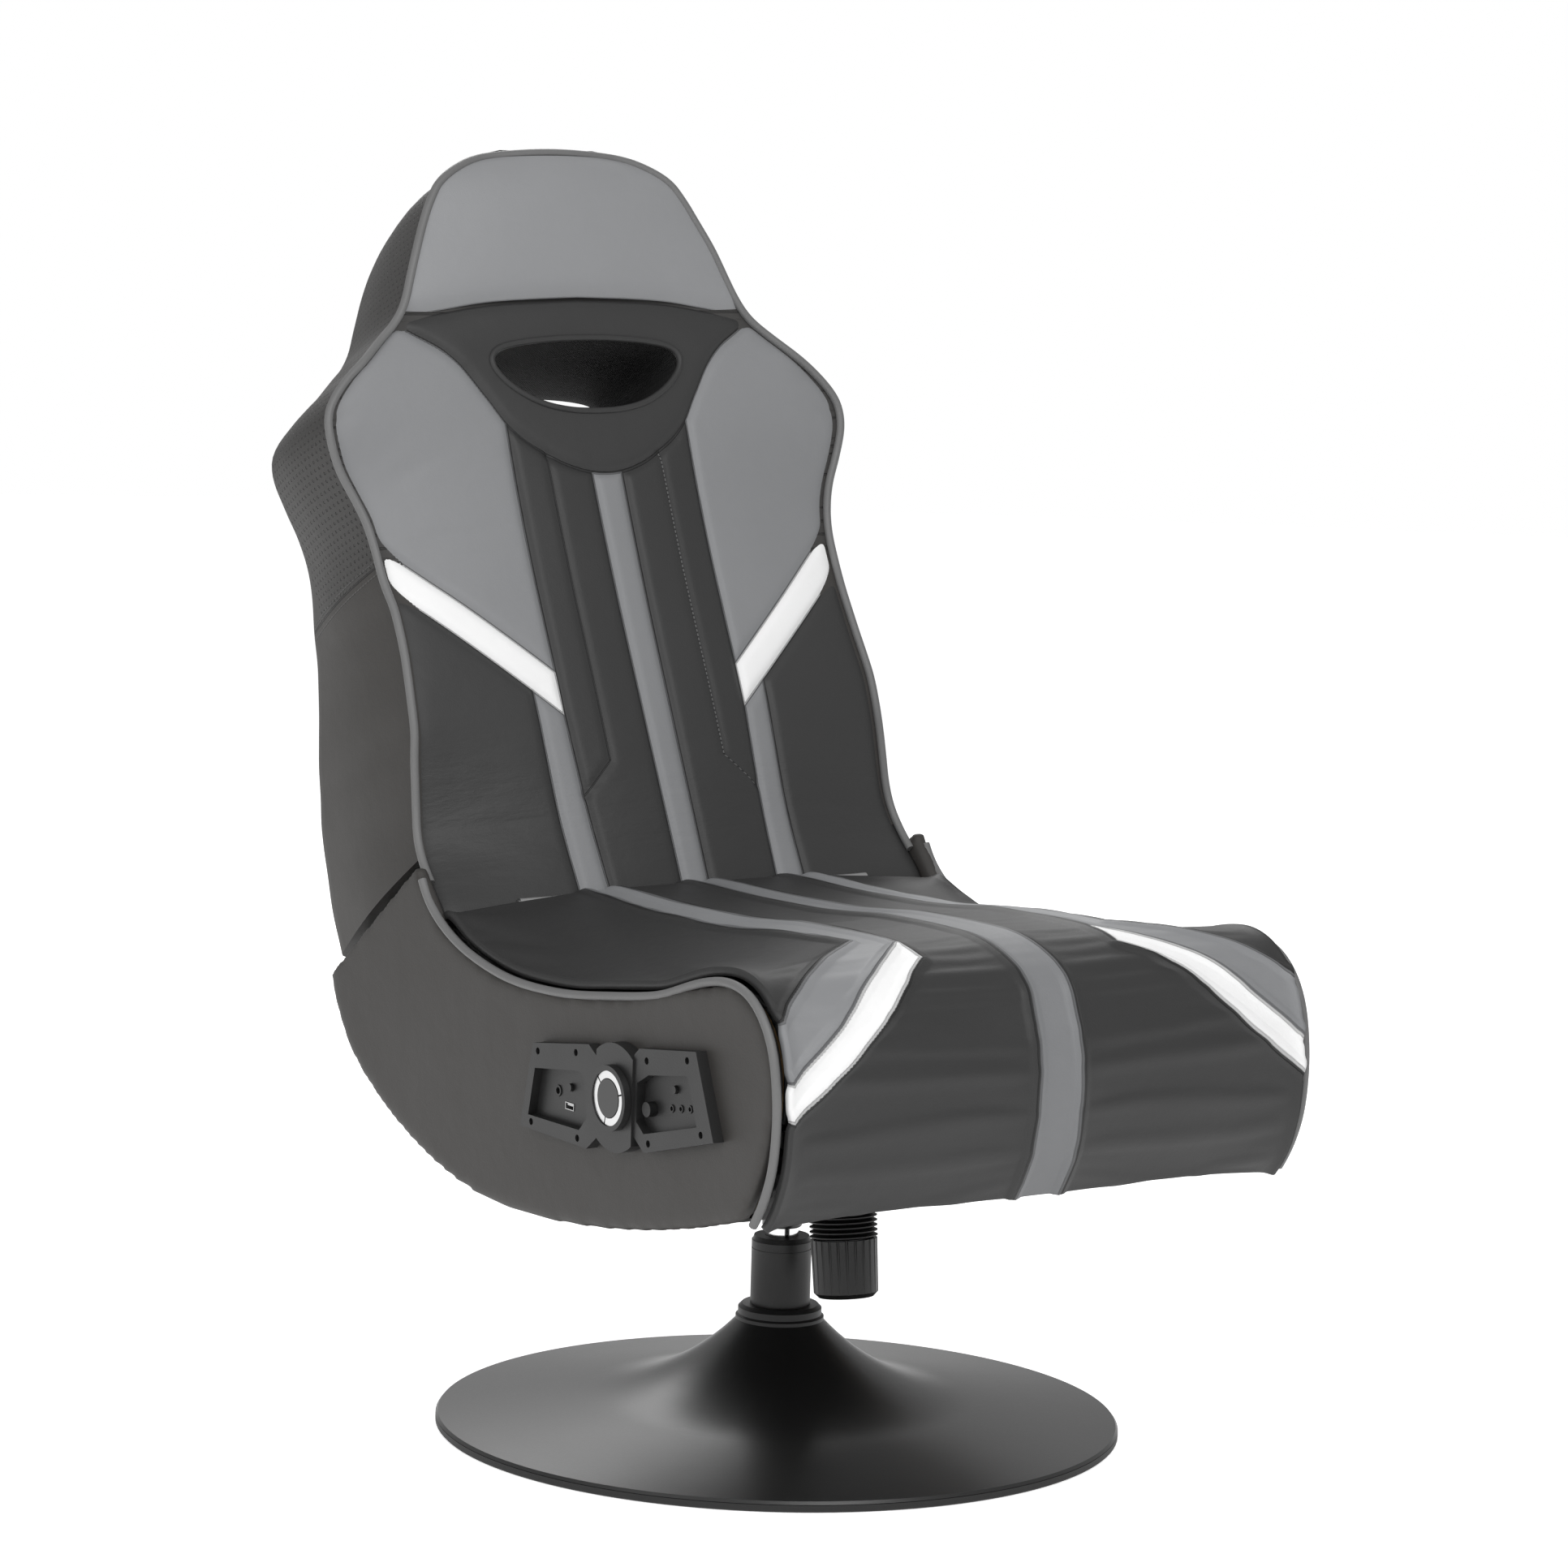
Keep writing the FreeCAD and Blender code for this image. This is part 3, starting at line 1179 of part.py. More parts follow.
dial_x = boss_x - gap - dial_height
node("dial_ring", tube("dial_ring", dial_radius, dial_radius - ring_radius - gap, dial_height, dial_x,
                       dial_y, dial_z, "x"))
button_height = size("button_height", 9)
button_x = boss_x + recess_floor - button_travel - 0.5 - button_height
sector_gap_degrees = 4
for index in range(3):
    label = "ring_button_%d" % (index + 1)
    sector = rod(label + "_sector", ring_radius, button_height, button_x, dial_y, dial_z, "x")
    sector.Angle = 120 - sector_gap_degrees
    spin = FreeCAD.Rotation(Vector(1, 0, 0), 15 + 120 * index)
    sector.Placement.Rotation = spin.multiply(sector.Placement.Rotation)
    core = rod(label + "_core", cap_radius + gap * 2, button_height + 2, button_x - 1, dial_y, dial_z, "x")
    node(label, cut(label, sector, [core]))
node("centre_button", rod("centre_button", cap_radius, button_height, button_x - 0.4, dial_y, dial_z, "x"))

doc.recompute()
os.makedirs("parts", exist_ok=True)
for item in doc.Objects:
    if "Invalid" in item.State or "Error" in item.State:
        raise RuntimeError(item.Name + " failed: " + str(item.State))
for name, item in nodes.items():
    if item.Shape.isNull() or not item.Shape.isValid():
        raise RuntimeError(name + " has no valid shape")
for name, item in nodes.items():
    item.Shape.exportStep("parts/" + name + ".step")
print(len(nodes), "nodes written")
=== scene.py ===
import math

import bpy
import numpy as np
from mathutils import Matrix, Vector


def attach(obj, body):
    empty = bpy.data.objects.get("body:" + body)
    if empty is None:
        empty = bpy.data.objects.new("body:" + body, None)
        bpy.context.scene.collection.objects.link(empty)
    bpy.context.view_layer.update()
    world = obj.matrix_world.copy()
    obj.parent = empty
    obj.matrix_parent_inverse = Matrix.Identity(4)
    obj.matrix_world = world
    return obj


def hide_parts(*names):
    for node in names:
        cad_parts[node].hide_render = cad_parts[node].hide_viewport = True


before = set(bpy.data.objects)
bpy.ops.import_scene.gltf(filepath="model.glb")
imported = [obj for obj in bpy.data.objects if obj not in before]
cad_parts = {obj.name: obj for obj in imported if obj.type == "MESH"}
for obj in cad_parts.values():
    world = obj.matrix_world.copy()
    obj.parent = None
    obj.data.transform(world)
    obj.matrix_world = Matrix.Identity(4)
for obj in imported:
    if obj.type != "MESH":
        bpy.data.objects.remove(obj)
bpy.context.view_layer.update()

bl_info = {
    "name": "Gaming Rocker Chair",
    "version": (1, 0, 0),
    "blender": (4, 5, 0),
    "location": "3D View > Sidebar > Rocker Chair",
    "description": "Builds the leather, trim and finishes of a gaming rocker chair round its frame",
    "category": "Object",
}

# The crease where the seat meets the back, and the frame that leans with the back
CREASE = np.array([0.0, 0.144, 0.441])
LEAN_SIN = math.sin(math.radians(25.5))
LEAN_COS = math.cos(math.radians(25.5))
# Gaps that are closed in copies of the frame's meshes, and where a sheet meets itself
WELD_GAP = 2e-5
SEAM_WELD_GAP = 1e-5
# Thickness of the padded fronts, and reach of a seam's hold on the cloth
PAD_THICKNESS = 0.007
SEAM_HOLD = 0.0035
PRESS_WIDTH = 0.0042
# Share of light that the leathers throw back
LEATHER_SHINE = 0.42
DULL_SHINE = 0.4

# Front edge of the back: height up the back, half width, depth behind the front plane, in mm
BACK_EDGE = [
    (-30, 246, 12), (0, 246, 14), (22, 246, 22), (46, 245, 31), (70, 243, 35), (92, 241, 32),
    (114, 240, 26), (136, 239, 20), (158, 237, 14), (184, 236, 11), (207, 234, 11), (230, 232, 12),
    (255, 231, 14), (272, 231, 16), (296, 233, 20), (326, 234, 21), (351, 238, 20), (374, 246, 19),
    (396, 256, 15), (420, 263, 7), (439, 263, 3), (454, 256, 0), (471, 241, -3), (486, 223, -6),
    (506, 201, -4), (522, 183, -5), (539, 171, -8), (561, 162, -11), (586, 152, -15),
    (612, 140, -17), (634, 128, -20), (650, 113, -22), (664, 88, -21), (671, 66, -19),
]
# Front of the back on its middle line: height up the back, depth
BACK_MIDDLE = [
    (-30, 2), (0, 0), (150, 0), (250, 0), (330, -2), (396, -5), (458, -9), (488, -11), (522, -14),
    (565, -24), (612, -31), (650, -32), (671, -26),
]
# Rear corners of the back: height up the back, depth, share of the width
BACK_REAR = [
    (-40, 207, 0.99), (20, 207, 0.99), (70, 212, 0.99), (135, 209, 0.99), (230, 186, 0.99),
    (300, 163, 0.99), (350, 145, 0.99), (396, 130, 0.99), (432, 127, 0.99), (458, 126, 0.99),
    (488, 122, 0.98), (522, 118, 0.98), (565, 114, 0.97), (612, 102, 0.96), (650, 74, 0.93),
    (672, 44, 0.86),
]
HEAD_SEAM = [(0, 540), (90, 537.5), (140, 532), (180, 527)]
VEE = [
    (0, 380.5), (12, 381.3), (30, 385.6), (55, 397.6), (90, 424.7), (108, 451.5), (132.8, 485.8),
    (174.5, 516.4), (184, 523),
]
SLOT_TOP = [(0, 504.4), (25, 504.0), (60, 501.5), (84, 497.5), (95, 492), (99.5, 484)]
SLOT_BOTTOM = [(0, 437), (24, 438), (52, 444), (76, 456.5), (92, 471), (99.5, 484)]


# Seat profile from the crease over the front: Y and Z on the middle line, Y and Z at the side
SEAT_PROFILE = [
    ((152, 410), (151, 404)), ((147, 428), (145, 418)), ((142, 439), (137, 427)),
    ((107, 441.3), (107, 414)), ((71, 441.6), (71, 404)), ((26, 442.3), (26, 397)),
    ((-23, 444), (-23, 397)), ((-71, 446), (-71, 400)), ((-118, 450.5), (-118, 407)),
    ((-159, 455), (-159, 413)), ((-200, 457), (-200, 420)), ((-231, 458), (-227, 429)),
    ((-260, 458.3), (-252, 438)), ((-285, 457.8), (-279, 444)), ((-308, 454.5), (-304, 446)),
    ((-330, 448), (-325, 441)), ((-347, 440), (-342, 429)), ((-359, 429), (-354, 415)),
    ((-366, 413), (-362, 397)), ((-373, 395), (-366, 376)), ((-377, 374), (-368, 355)),
    ((-377, 350), (-367, 333)), ((-375, 330), (-364, 312)), ((-370, 306), (-357, 292)),
    ((-361, 287), (-348, 275)), ((-350, 269), (-338, 263)),
]
SEAT_PIPING = [
    (171, 460), (165, 450), (155, 439), (136, 426), (107, 413), (71, 404), (26, 397), (-23, 397),
    (-71, 400), (-118, 407), (-159, 413), (-200, 420), (-224, 428), (-249, 437), (-278, 445),
    (-304, 447), (-327, 442), (-344, 430), (-356, 415), (-364, 397), (-368, 376), (-370, 355),
    (-369, 333), (-366, 312), (-359, 292), (-350, 275), (-341, 263),
]


def spline(points, number):
    """Points along a smooth curve through the given ones, spread evenly over their spans."""
    points = np.array(points, float)
    padded = np.vstack([2 * points[0] - points[1], points, 2 * points[-1] - points[-2]])
    place = np.linspace(0, len(points) - 1, number)
    span = np.minimum(place.astype(int), len(points) - 2)
    t = (place - span)[:, None]
    a, b, c, d = (padded[span + shift] for shift in range(4))
    square = 2 * a - 5 * b + 4 * c - d
    cube = 3 * b - a - 3 * c + d
    return 0.5 * (2 * b + (c - a) * t + square * t ** 2 + cube * t ** 3)


def smooth_table(points, number=400):
    """A finely sampled table of a curve, for np.interp on its first column."""
    table = spline(points, number)
    return table[:, 0], table[:, 1:]


def lookup(points, values):
    """Each further column of a table, read off its smooth curve at the given values."""
    keys, rows = smooth_table(points)
    return [np.interp(values, keys, rows[:, column]) for column in range(rows.shape[1])]


def leaned(x, up, depth):
    """World places of points of the leaning back, all in metres."""
    return np.stack([x, CREASE[1] + LEAN_SIN * up + LEAN_COS * depth,
                     CREASE[2] + LEAN_COS * up - LEAN_SIN * depth], axis=-1)


def deselect():
    """Leaves edit mode and selects nothing."""
    if bpy.context.object and bpy.context.object.mode != "OBJECT":
        bpy.ops.object.mode_set(mode="OBJECT")
    bpy.ops.object.select_all(action="DESELECT")


def only(obj):
    """Makes an object the one selected and active."""
    deselect()
    obj.select_set(True)
    bpy.context.view_layer.objects.active = obj


def apply(obj, kind, **settings):
    """Adds a modifier with its settings and applies it."""
    only(obj)
    modifier = obj.modifiers.new(kind.title(), kind)
    for name, value in settings.items():
        setattr(modifier, name, value)
    bpy.ops.object.modifier_apply(modifier=modifier.name)


def places(obj):
    """Places of the vertices, a row for each."""
    flat = np.empty(len(obj.data.vertices) * 3)
    obj.data.vertices.foreach_get("co", flat)
    return flat.reshape(-1, 3)


def put_places(obj, rows):
    """Moves the vertices to the given places."""
    obj.data.vertices.foreach_set("co", np.ascontiguousarray(rows, dtype=float).ravel())
    obj.data.update()


def normals(obj):
    """Outward directions at the vertices."""
    flat = np.empty(len(obj.data.vertices) * 3, np.float32)
    obj.data.vertex_normals.foreach_get("vector", flat)
    return flat.reshape(-1, 3).astype(float)


def sheet_of(name, columns, rows):
    """A flat grid of quads, whose points the caller sets."""
    deselect()
    bpy.ops.mesh.primitive_grid_add(x_subdivisions=columns - 1, y_subdivisions=rows - 1, size=2)
    obj = bpy.context.object
    obj.name = name
    return obj


def dress(obj, body, material, smooth=True):
    """Gives a piece its material and its body."""
    obj.data.materials.clear()
    obj.data.materials.append(material)
    if smooth:
        only(obj)
        bpy.ops.object.shade_smooth()
    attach(obj, body)
    return obj


def weld(obj, gap):
    """Joins vertices that lie within a gap of each other."""
    only(obj)
    bpy.ops.object.mode_set(mode="EDIT")
    bpy.ops.mesh.select_all(action="SELECT")
    bpy.ops.mesh.remove_doubles(threshold=gap)
    bpy.ops.object.mode_set(mode="OBJECT")


def copied_node(node, name):
    """A welded copy of a frame node's mesh, to be remeshed or reshaped."""
    deselect()
    obj = bpy.data.objects.new(name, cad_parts[node].data.copy())
    bpy.context.scene.collection.objects.link(obj)
    weld(obj, WELD_GAP)
    return obj


def nearest_on(lines, points):
    """Distance of each point to the nearest of several polylines, in the plane."""
    best = np.full(len(points), 1e9)
    for line in lines:
        line = np.array(line, float)
        for start, end in zip(line[:-1], line[1:]):
            along = end - start
            share = np.clip(((points - start) @ along) / max(along @ along, 1e-12), 0, 1)
            gap = np.linalg.norm(points - start - share[:, None] * along, axis=1)
            best = np.minimum(best, gap)
    return best


def swell(obj, held, pressure, cap, stiffness=12.0):
    """Blows up a sheet with the cloth solver while the held points stay, then limits the swelling."""
    group = obj.vertex_groups.new(name="held")
    for index in np.nonzero(held > 0.02)[0]:
        group.add([int(index)], float(min(held[index], 1.0)), "REPLACE")
    before = places(obj)
    only(obj)
    cloth = obj.modifiers.new("Cloth", "CLOTH")
    sheet = cloth.settings
    sheet.vertex_group_mass = "held"
    sheet.use_pressure = True
    sheet.uniform_pressure_force = pressure
    sheet.tension_stiffness = stiffness
    sheet.compression_stiffness = stiffness
    sheet.bending_stiffness = 0.6
    sheet.effector_weights.gravity = 0.0
    scene = bpy.context.scene
    for number in range(1, 21):
        scene.frame_set(number)
    bpy.ops.object.modifier_apply(modifier="Cloth")
    scene.frame_set(1)
    moved = places(obj) - before
    length = np.linalg.norm(moved, axis=1)
    limit = cap * np.tanh(length / cap)
    put_places(obj, before + moved * (limit / np.maximum(length, 1e-9))[:, None])


def tube_along(name, points, radius, closed=False):
    """A round tube on a smooth line through control points, made a mesh."""
    curve = bpy.data.curves.new(name, "CURVE")
    curve.dimensions = "3D"
    line = curve.splines.new("NURBS")
    line.points.add(len(points) - 1)
    for point, place in zip(line.points, points):
        point.co = (*place, 1.0)
    line.use_endpoint_u = not closed
    line.use_cyclic_u = closed
    line.order_u = 4
    line.resolution_u = 6
    curve.bevel_depth = radius
    curve.bevel_resolution = 3
    curve.use_fill_caps = not closed
    obj = bpy.data.objects.new(name, curve)
    bpy.context.scene.collection.objects.link(obj)
    only(obj)
    bpy.ops.object.convert(target="MESH")
    obj = bpy.context.object
    obj.name = name
    return obj


class Value:
    """A number socket of a shader, with the usual signs as Math nodes."""

    def __init__(self, maker, socket):
        self.maker = maker
        self.socket = socket

    def maths(self, operation, first, second=None):
        inputs = [first] if second is None else [first, second]
        return self.maker.node("ShaderNodeMath", {"operation": operation}, inputs)

    def __add__(self, other):
        return self.maths("ADD", self, other)

    __radd__ = __add__

    def __sub__(self, other):
        return self.maths("SUBTRACT", self, other)

    def __rsub__(self, other):
        return self.maths("SUBTRACT", other, self)

    def __mul__(self, other):
        return self.maths("MULTIPLY", self, other)

    __rmul__ = __mul__

    def __truediv__(self, other):
        return self.maths("DIVIDE", self, other)

    def __abs__(self):
        return self.maths("ABSOLUTE", self)

    def least(self, other):
        return self.maths("MINIMUM", self, other)

    def most(self, other):
        return self.maths("MAXIMUM", self, other)

    def sine(self):
        return self.maths("SINE", self)

    def root(self):
        return self.maths("SQRT", self)

    def over(self, edge, soft=0.0004):
        """1 where the value is past the edge, with a soft step."""
        return ((self - edge) / soft + 0.5).clamp()

    def clamp(self):
        return self.most(0.0).least(1.0)

    def line(self, width, soft=0.0006):
        """1 close to zero, 0 further off: a thin line."""
        return 1 - abs(self).over(width, soft)

    def bell(self, width):
        """A soft ridge round zero."""
        ratio = self / width
        return self.maths("EXPONENT", ratio * ratio * -1.0)


class Finish:
    """One material and the nodes that paint it."""

    def __init__(self, name):
        self.material = bpy.data.materials.new(name)
        self.material.use_nodes = True
        self.tree = self.material.node_tree
        self.shader = self.tree.nodes["Principled BSDF"]

    def plug(self, socket, value):
        if isinstance(value, Value):
            self.tree.links.new(value.socket, socket)
        elif isinstance(value, (tuple, list)) and len(value) == 3 and socket.type == "RGBA":
            socket.default_value = (*value, 1.0)
        else:
            socket.default_value = value

    def node(self, kind, settings=None, inputs=(), output=0):
        """Adds a node: its settings first, then its inputs by place or by name."""
        made = self.tree.nodes.new(kind)
        for name, value in (settings or {}).items():
            if name == "curve":
                made.mapping.extend = "EXTRAPOLATED"
                line = made.mapping.curves[0]
                while len(line.points) < len(value):
                    line.points.new(0.5, 0.5)
                for point, (x, y) in zip(line.points, value):
                    point.location = (x, y)
                    point.handle_type = "AUTO"
                made.mapping.update()
            else:
                setattr(made, name, value)
        pairs = inputs.items() if isinstance(inputs, dict) else enumerate(inputs)
        for key, value in pairs:
            self.plug(made.inputs[key], value)
        return Value(self, made.outputs[output])

    def place(self):
        return self.node("ShaderNodeTexCoord", output="Object")

    def axes(self, vector=None):
        split = self.tree.nodes.new("ShaderNodeSeparateXYZ")
        self.plug(split.inputs[0], vector or self.place())
        return [Value(self, split.outputs[index]) for index in range(3)]

    def joined(self, x, y, z):
        return self.node("ShaderNodeCombineXYZ", None, [x, y, z])

    def curve(self, points, value, reach, top):
        """A smooth line through points, read at a value; reach and top are the largest of each."""
        scaled = [(x / reach, y / top) for x, y in points]
        return top * self.node("ShaderNodeFloatCurve", {"curve": scaled},
                               {"Factor": 1.0, "Value": value / reach})

    def noise(self, scale, detail=3.0, rough=0.55, vector=None):
        return self.node("ShaderNodeTexNoise", None, {
            "Vector": vector or self.place(), "Scale": scale, "Detail": detail, "Roughness": rough})

    def cells(self, scale):
        return self.node("ShaderNodeTexVoronoi", None, {"Vector": self.place(), "Scale": scale},
                         "Distance")

    def mix(self, factor, below, above):
        made = self.tree.nodes.new("ShaderNodeMix")
        made.data_type = "RGBA"
        self.plug(made.inputs["Factor"], factor)
        self.plug(made.inputs["A"], below)
        self.plug(made.inputs["B"], above)
        return Value(self, made.outputs["Result"])

    def tint(self, colour, factor):
        """A colour made lighter or darker by a factor socket."""
        grey = self.node("ShaderNodeCombineColor", None, [factor, factor, factor])
        made = self.tree.nodes.new("ShaderNodeMix")
        made.data_type = "RGBA"
        made.blend_type = "MULTIPLY"
        made.inputs["Factor"].default_value = 1.0
        self.plug(made.inputs["A"], colour)
        self.plug(made.inputs["B"], grey)
        return Value(self, made.outputs["Result"])

    def bump(self, height, distance, strength=1.0, under=None):
        inputs = {"Strength": strength, "Distance": distance, "Height": height}
        if under:
            inputs["Normal"] = under
        return self.node("ShaderNodeBump", None, inputs)

    def set(self, **values):
        names = {"colour": "Base Color", "rough": "Roughness", "metal": "Metallic", "normal": "Normal",
                 "coat": "Coat Weight", "coat_rough": "Coat Roughness", "specular": "Specular IOR Level"}
        for name, value in values.items():
            self.plug(self.shader.inputs[names[name]], value)
        return self.material


def grey(level):
    """A neutral colour from a level of 0 to 255 as a screen shows it."""
    share = level / 255
    linear = share / 12.92 if share <= 0.04045 else ((share + 0.055) / 1.055) ** 2.4
    return (linear, linear, linear)


def warm(red, green, blue):
    """A colour from its red, green and blue levels."""
    return tuple(grey(level)[0] for level in (red, green, blue))


def shade(level):
    """The slightly blue grey of the pale leather."""
    return warm(level, level + 1, level + 3)


def leather_skin(finish, seams=None, creases=None, grain=0.00012):
    """Height, normal and gloss of soft faux leather: fine grain, pores and slow waves."""
    pebble = finish.cells(620.0)
    fine = finish.noise(900.0, 2.0)
    slow = finish.noise(7.0, 3.0)
    slack = finish.noise(26.0, 4.0)
    height = pebble * 0.7 + fine * 0.5
    normal = finish.bump(slack * 0.6 + slow, 0.0035, 0.35)
    normal = finish.bump(height, grain, 0.55, normal)
    if creases:
        normal = finish.bump(creases, 0.002, 0.8, normal)
    if seams:
        normal = finish.bump(seams, 0.0016, 1.0, normal)
    gloss = 0.44 + slow * 0.10 + fine * 0.08
    return normal, gloss, slow


def back_axes(finish):
    """Distance from the middle, height up the back and depth, as sockets."""
    x, y, z = finish.axes()
    rear = y - float(CREASE[1])
    high = z - float(CREASE[2])
    up = rear * LEAN_SIN + high * LEAN_COS
    depth = rear * LEAN_COS - high * LEAN_SIN
    return x, abs(x), up, depth


def stitches(finish, along, pitch=0.0042):
    """Dashes along a seam: 1 on a thread, 0 in the gap."""
    wave = (along * (2 * math.pi / pitch)).sine()
    return wave.over(-0.25, 0.5)


def back_leather():
    """The back pad's panels, stripes and seams."""
    finish = Finish("back_leather")
    x, away, up, depth = back_axes(finish)
    vee_wide, vee_high = 0.190, 0.530
    vee = finish.curve([(half / 1000, level / 1000) for half, level in VEE], away, vee_wide, vee_high)
    inner = (0.0858 + up * 0.0436).least(0.0929)
    outer = 0.115 + up * 0.02
    centre = 0.0136 + up * 0.0047
    white_top = 0.2013 + (away - 0.0925) * 0.9088
    white_low = 0.1634 + (away - 0.0933) * 0.9029
    past_inner = away.over(inner)
    in_vee = up.over(vee)
    upper = past_inner * up.over(white_top)
    white = past_inner * up.over(white_low) * (1 - up.over(white_top))
    below = 1 - up.over(white_low)
    side_stripe = past_inner * (1 - away.over(outer)) * below
    lower_wing = away.over(outer) * below
    middle = 1 - away.over(centre)
    corner = (0.088 - away) / 0.0297 * 0.0286 + 0.0906
    quilt = (away - 0.0585).line(0.0007) * up.over(0.119) + (up - corner).line(0.0008) * away.over(
        0.0585) * (1 - away.over(0.088)) * up.over(0.088)
    quilt = quilt * (1 - in_vee)
    colour = finish.mix(lower_wing, grey(48), grey(51))
    colour = finish.mix(middle + side_stripe, colour, shade(130))
    colour = finish.mix(upper, colour, shade(134))
    colour = finish.mix(white, colour, grey(247))
    colour = finish.mix(in_vee, colour, grey(50))
    seam = (away - inner).line(0.0010) + (away - centre).line(0.0010)
    seam = seam + (away - outer).line(0.0010) * below
    seam = seam + ((up - white_top).line(0.0013) + (up - white_low).line(0.0013)) * past_inner
    seam = (seam * (1 - in_vee) + (up - vee).line(0.0013)).clamp()
    thread = quilt * stitches(finish, up, 0.0040)
    # Bands round the seams: they shape the seam grooves in the bump, and below they darken the colour as
    # painted shade
    wide = (away - inner).bell(0.0035) + (away - centre).bell(0.003) + (away - outer).bell(0.003) * below
    wide = wide + (up - white_top).bell(0.0035) * past_inner + (up - white_low).bell(0.0035) * past_inner
    wide = wide * (1 - in_vee) + (up - vee).bell(0.004)
    fold = finish.noise(1.0, 4.0, 0.6, finish.joined(x * 14.0, up * 46.0, depth * 14.0))
    near = (up - 0.075).bell(0.07)
    creases = fold * near
    normal, gloss, slow = leather_skin(finish, 1 - (seam * 0.8 + quilt * 0.6 + wide * 0.3), creases)
    # Besides the dark seam and quilt lines, the tint darkens a band of a few millimetres round each seam
    # by up to 6 %: painted shade in the seam grooves
    colour = finish.tint(colour, 0.94 + slow * 0.12 - seam * 0.45 - quilt * 0.30 - wide * 0.06)
    colour = finish.mix(thread * 0.4 * x.over(0.0), colour, grey(150))
    return finish.set(colour=colour, rough=gloss, normal=normal, specular=LEATHER_SHINE)


def head_leather():
    """Pale leather of the head panel."""
    finish = Finish("head_leather")
    x, away, up, depth = back_axes(finish)
    fold = finish.noise(1.0, 4.0, 0.6, finish.joined(x * 22.0, up * 12.0, depth * 12.0))
    normal, gloss, slow = leather_skin(finish, None, fold * 0.25)
    colour = finish.tint(shade(142), 0.94 + slow * 0.12)
    return finish.set(colour=colour, rough=gloss, normal=normal, specular=LEATHER_SHINE)


def gusset_leather():
    """Brown-black leather of the back's sides and rear, perforated above the side seam."""
    finish = Finish("gusset_leather")
    x, away, up, depth = back_axes(finish)
    seam_height = 0.3135 - depth * 0.11
    above = up.over(seam_height)
    pitch = 0.0062
    row = up / pitch
    fall = depth / pitch
    shift = finish.node("ShaderNodeMath", {"operation": "FLOOR"}, [row]) * 0.5
    u = finish.node("ShaderNodeMath", {"operation": "FRACT"}, [fall + shift]) - 0.5
    v = finish.node("ShaderNodeMath", {"operation": "FRACT"}, [row]) - 0.5
    dot = 1 - (u * u + v * v).root().over(0.17, 0.10)
    dot = dot * above * (1 - depth.over(0.135))
    seam = (up - seam_height).line(0.0009)
    double = ((up - seam_height - 0.005).line(0.0006) + (up - seam_height + 0.006).line(0.0006))
    thread = double * stitches(finish, depth, 0.0044)
    normal, gloss, slow = leather_skin(finish, 1 - (seam + dot * 0.7 + double * 0.3).clamp())
    colour = finish.mix(above, warm(59, 57, 55), warm(62, 61, 60))
    colour = finish.tint(colour, 0.93 + slow * 0.14 - seam * 0.5 - dot * 0.35)
    colour = finish.mix(thread * 0.3, colour, grey(120))
    return finish.set(colour=colour, rough=gloss, normal=normal, specular=DULL_SHINE)


def seat_leather():
    """Charcoal seat leather with its stripes, laid out on the pad's own map."""
    finish = Finish("seat_leather")
    sew = finish.node("ShaderNodeUVMap", {"uv_map": "sewing"})
    x, run = finish.axes(sew)[:2]
    away = abs(x)
    inner = finish.curve(SEAT_STRIPE_IN, run, SEAT_RUN, SEAT_HALF)
    outer = finish.curve(SEAT_STRIPE_OUT, run, SEAT_RUN, SEAT_HALF)
    corner = finish.curve(CORNER_TOP, away, SEAT_HALF, SEAT_RUN)
    white_top = finish.curve(WHITE_TOP, away, SEAT_HALF, SEAT_RUN)
    white_low = finish.curve(WHITE_LOW, away, SEAT_HALF, SEAT_RUN)
    centre = 0.0136 + run * 0.0125
    past_inner = away.over(inner)
    white = past_inner * run.over(white_top) * (1 - run.over(white_low))
    in_corner = run.over(corner)
    in_stripe = 1 - away.over(outer)
    patch = past_inner * in_stripe.most(in_corner) * (1 - run.over(white_top))
    middle = 1 - away.over(centre)
    colour = finish.mix(middle, grey(45), shade(124))
    colour = finish.mix(patch, colour, shade(134))
    colour = finish.mix(white, colour, grey(247))
    before = 1 - run.over(white_low)
    seam = (away - centre).line(0.0010) + (away - inner).line(0.0010) * before
    seam = seam + (away - outer).line(0.0010) * (1 - in_corner)
    seam = seam + (run - corner).line(0.0012) * away.over(outer)
    seam = (seam + ((run - white_top).line(0.0012) + (run - white_low).line(0.0012)) * past_inner).clamp()
    wide = (away - centre).bell(0.003) + (away - inner).bell(0.003) * before
    normal, gloss, slow = leather_skin(finish, 1 - (seam * 0.8 + wide * 0.3))
    colour = finish.tint(colour, 0.94 + slow * 0.12 - seam * 0.45)
    return finish.set(colour=colour, rough=gloss, normal=normal, specular=LEATHER_SHINE)


def plain_leather(name, colour):
    """Leather of one colour, without seams."""
    finish = Finish(name)
    normal, gloss, slow = leather_skin(finish, grain=0.00014)
    colour = finish.tint(colour, 0.92 + slow * 0.16)
    return finish.set(colour=colour, rough=gloss, normal=normal, specular=DULL_SHINE)


def piping_leather():
    """Grey leather of the piping."""
    finish = Finish("piping_leather")
    fine = finish.noise(700.0, 3.0)
    slow = finish.noise(9.0, 2.0)
    colour = finish.tint(grey(110), 0.9 + slow * 0.2)
    normal = finish.bump(fine + finish.cells(500.0) * 0.6, 0.00015, 0.5)
    return finish.set(colour=colour, rough=0.42 + fine * 0.15, normal=normal)


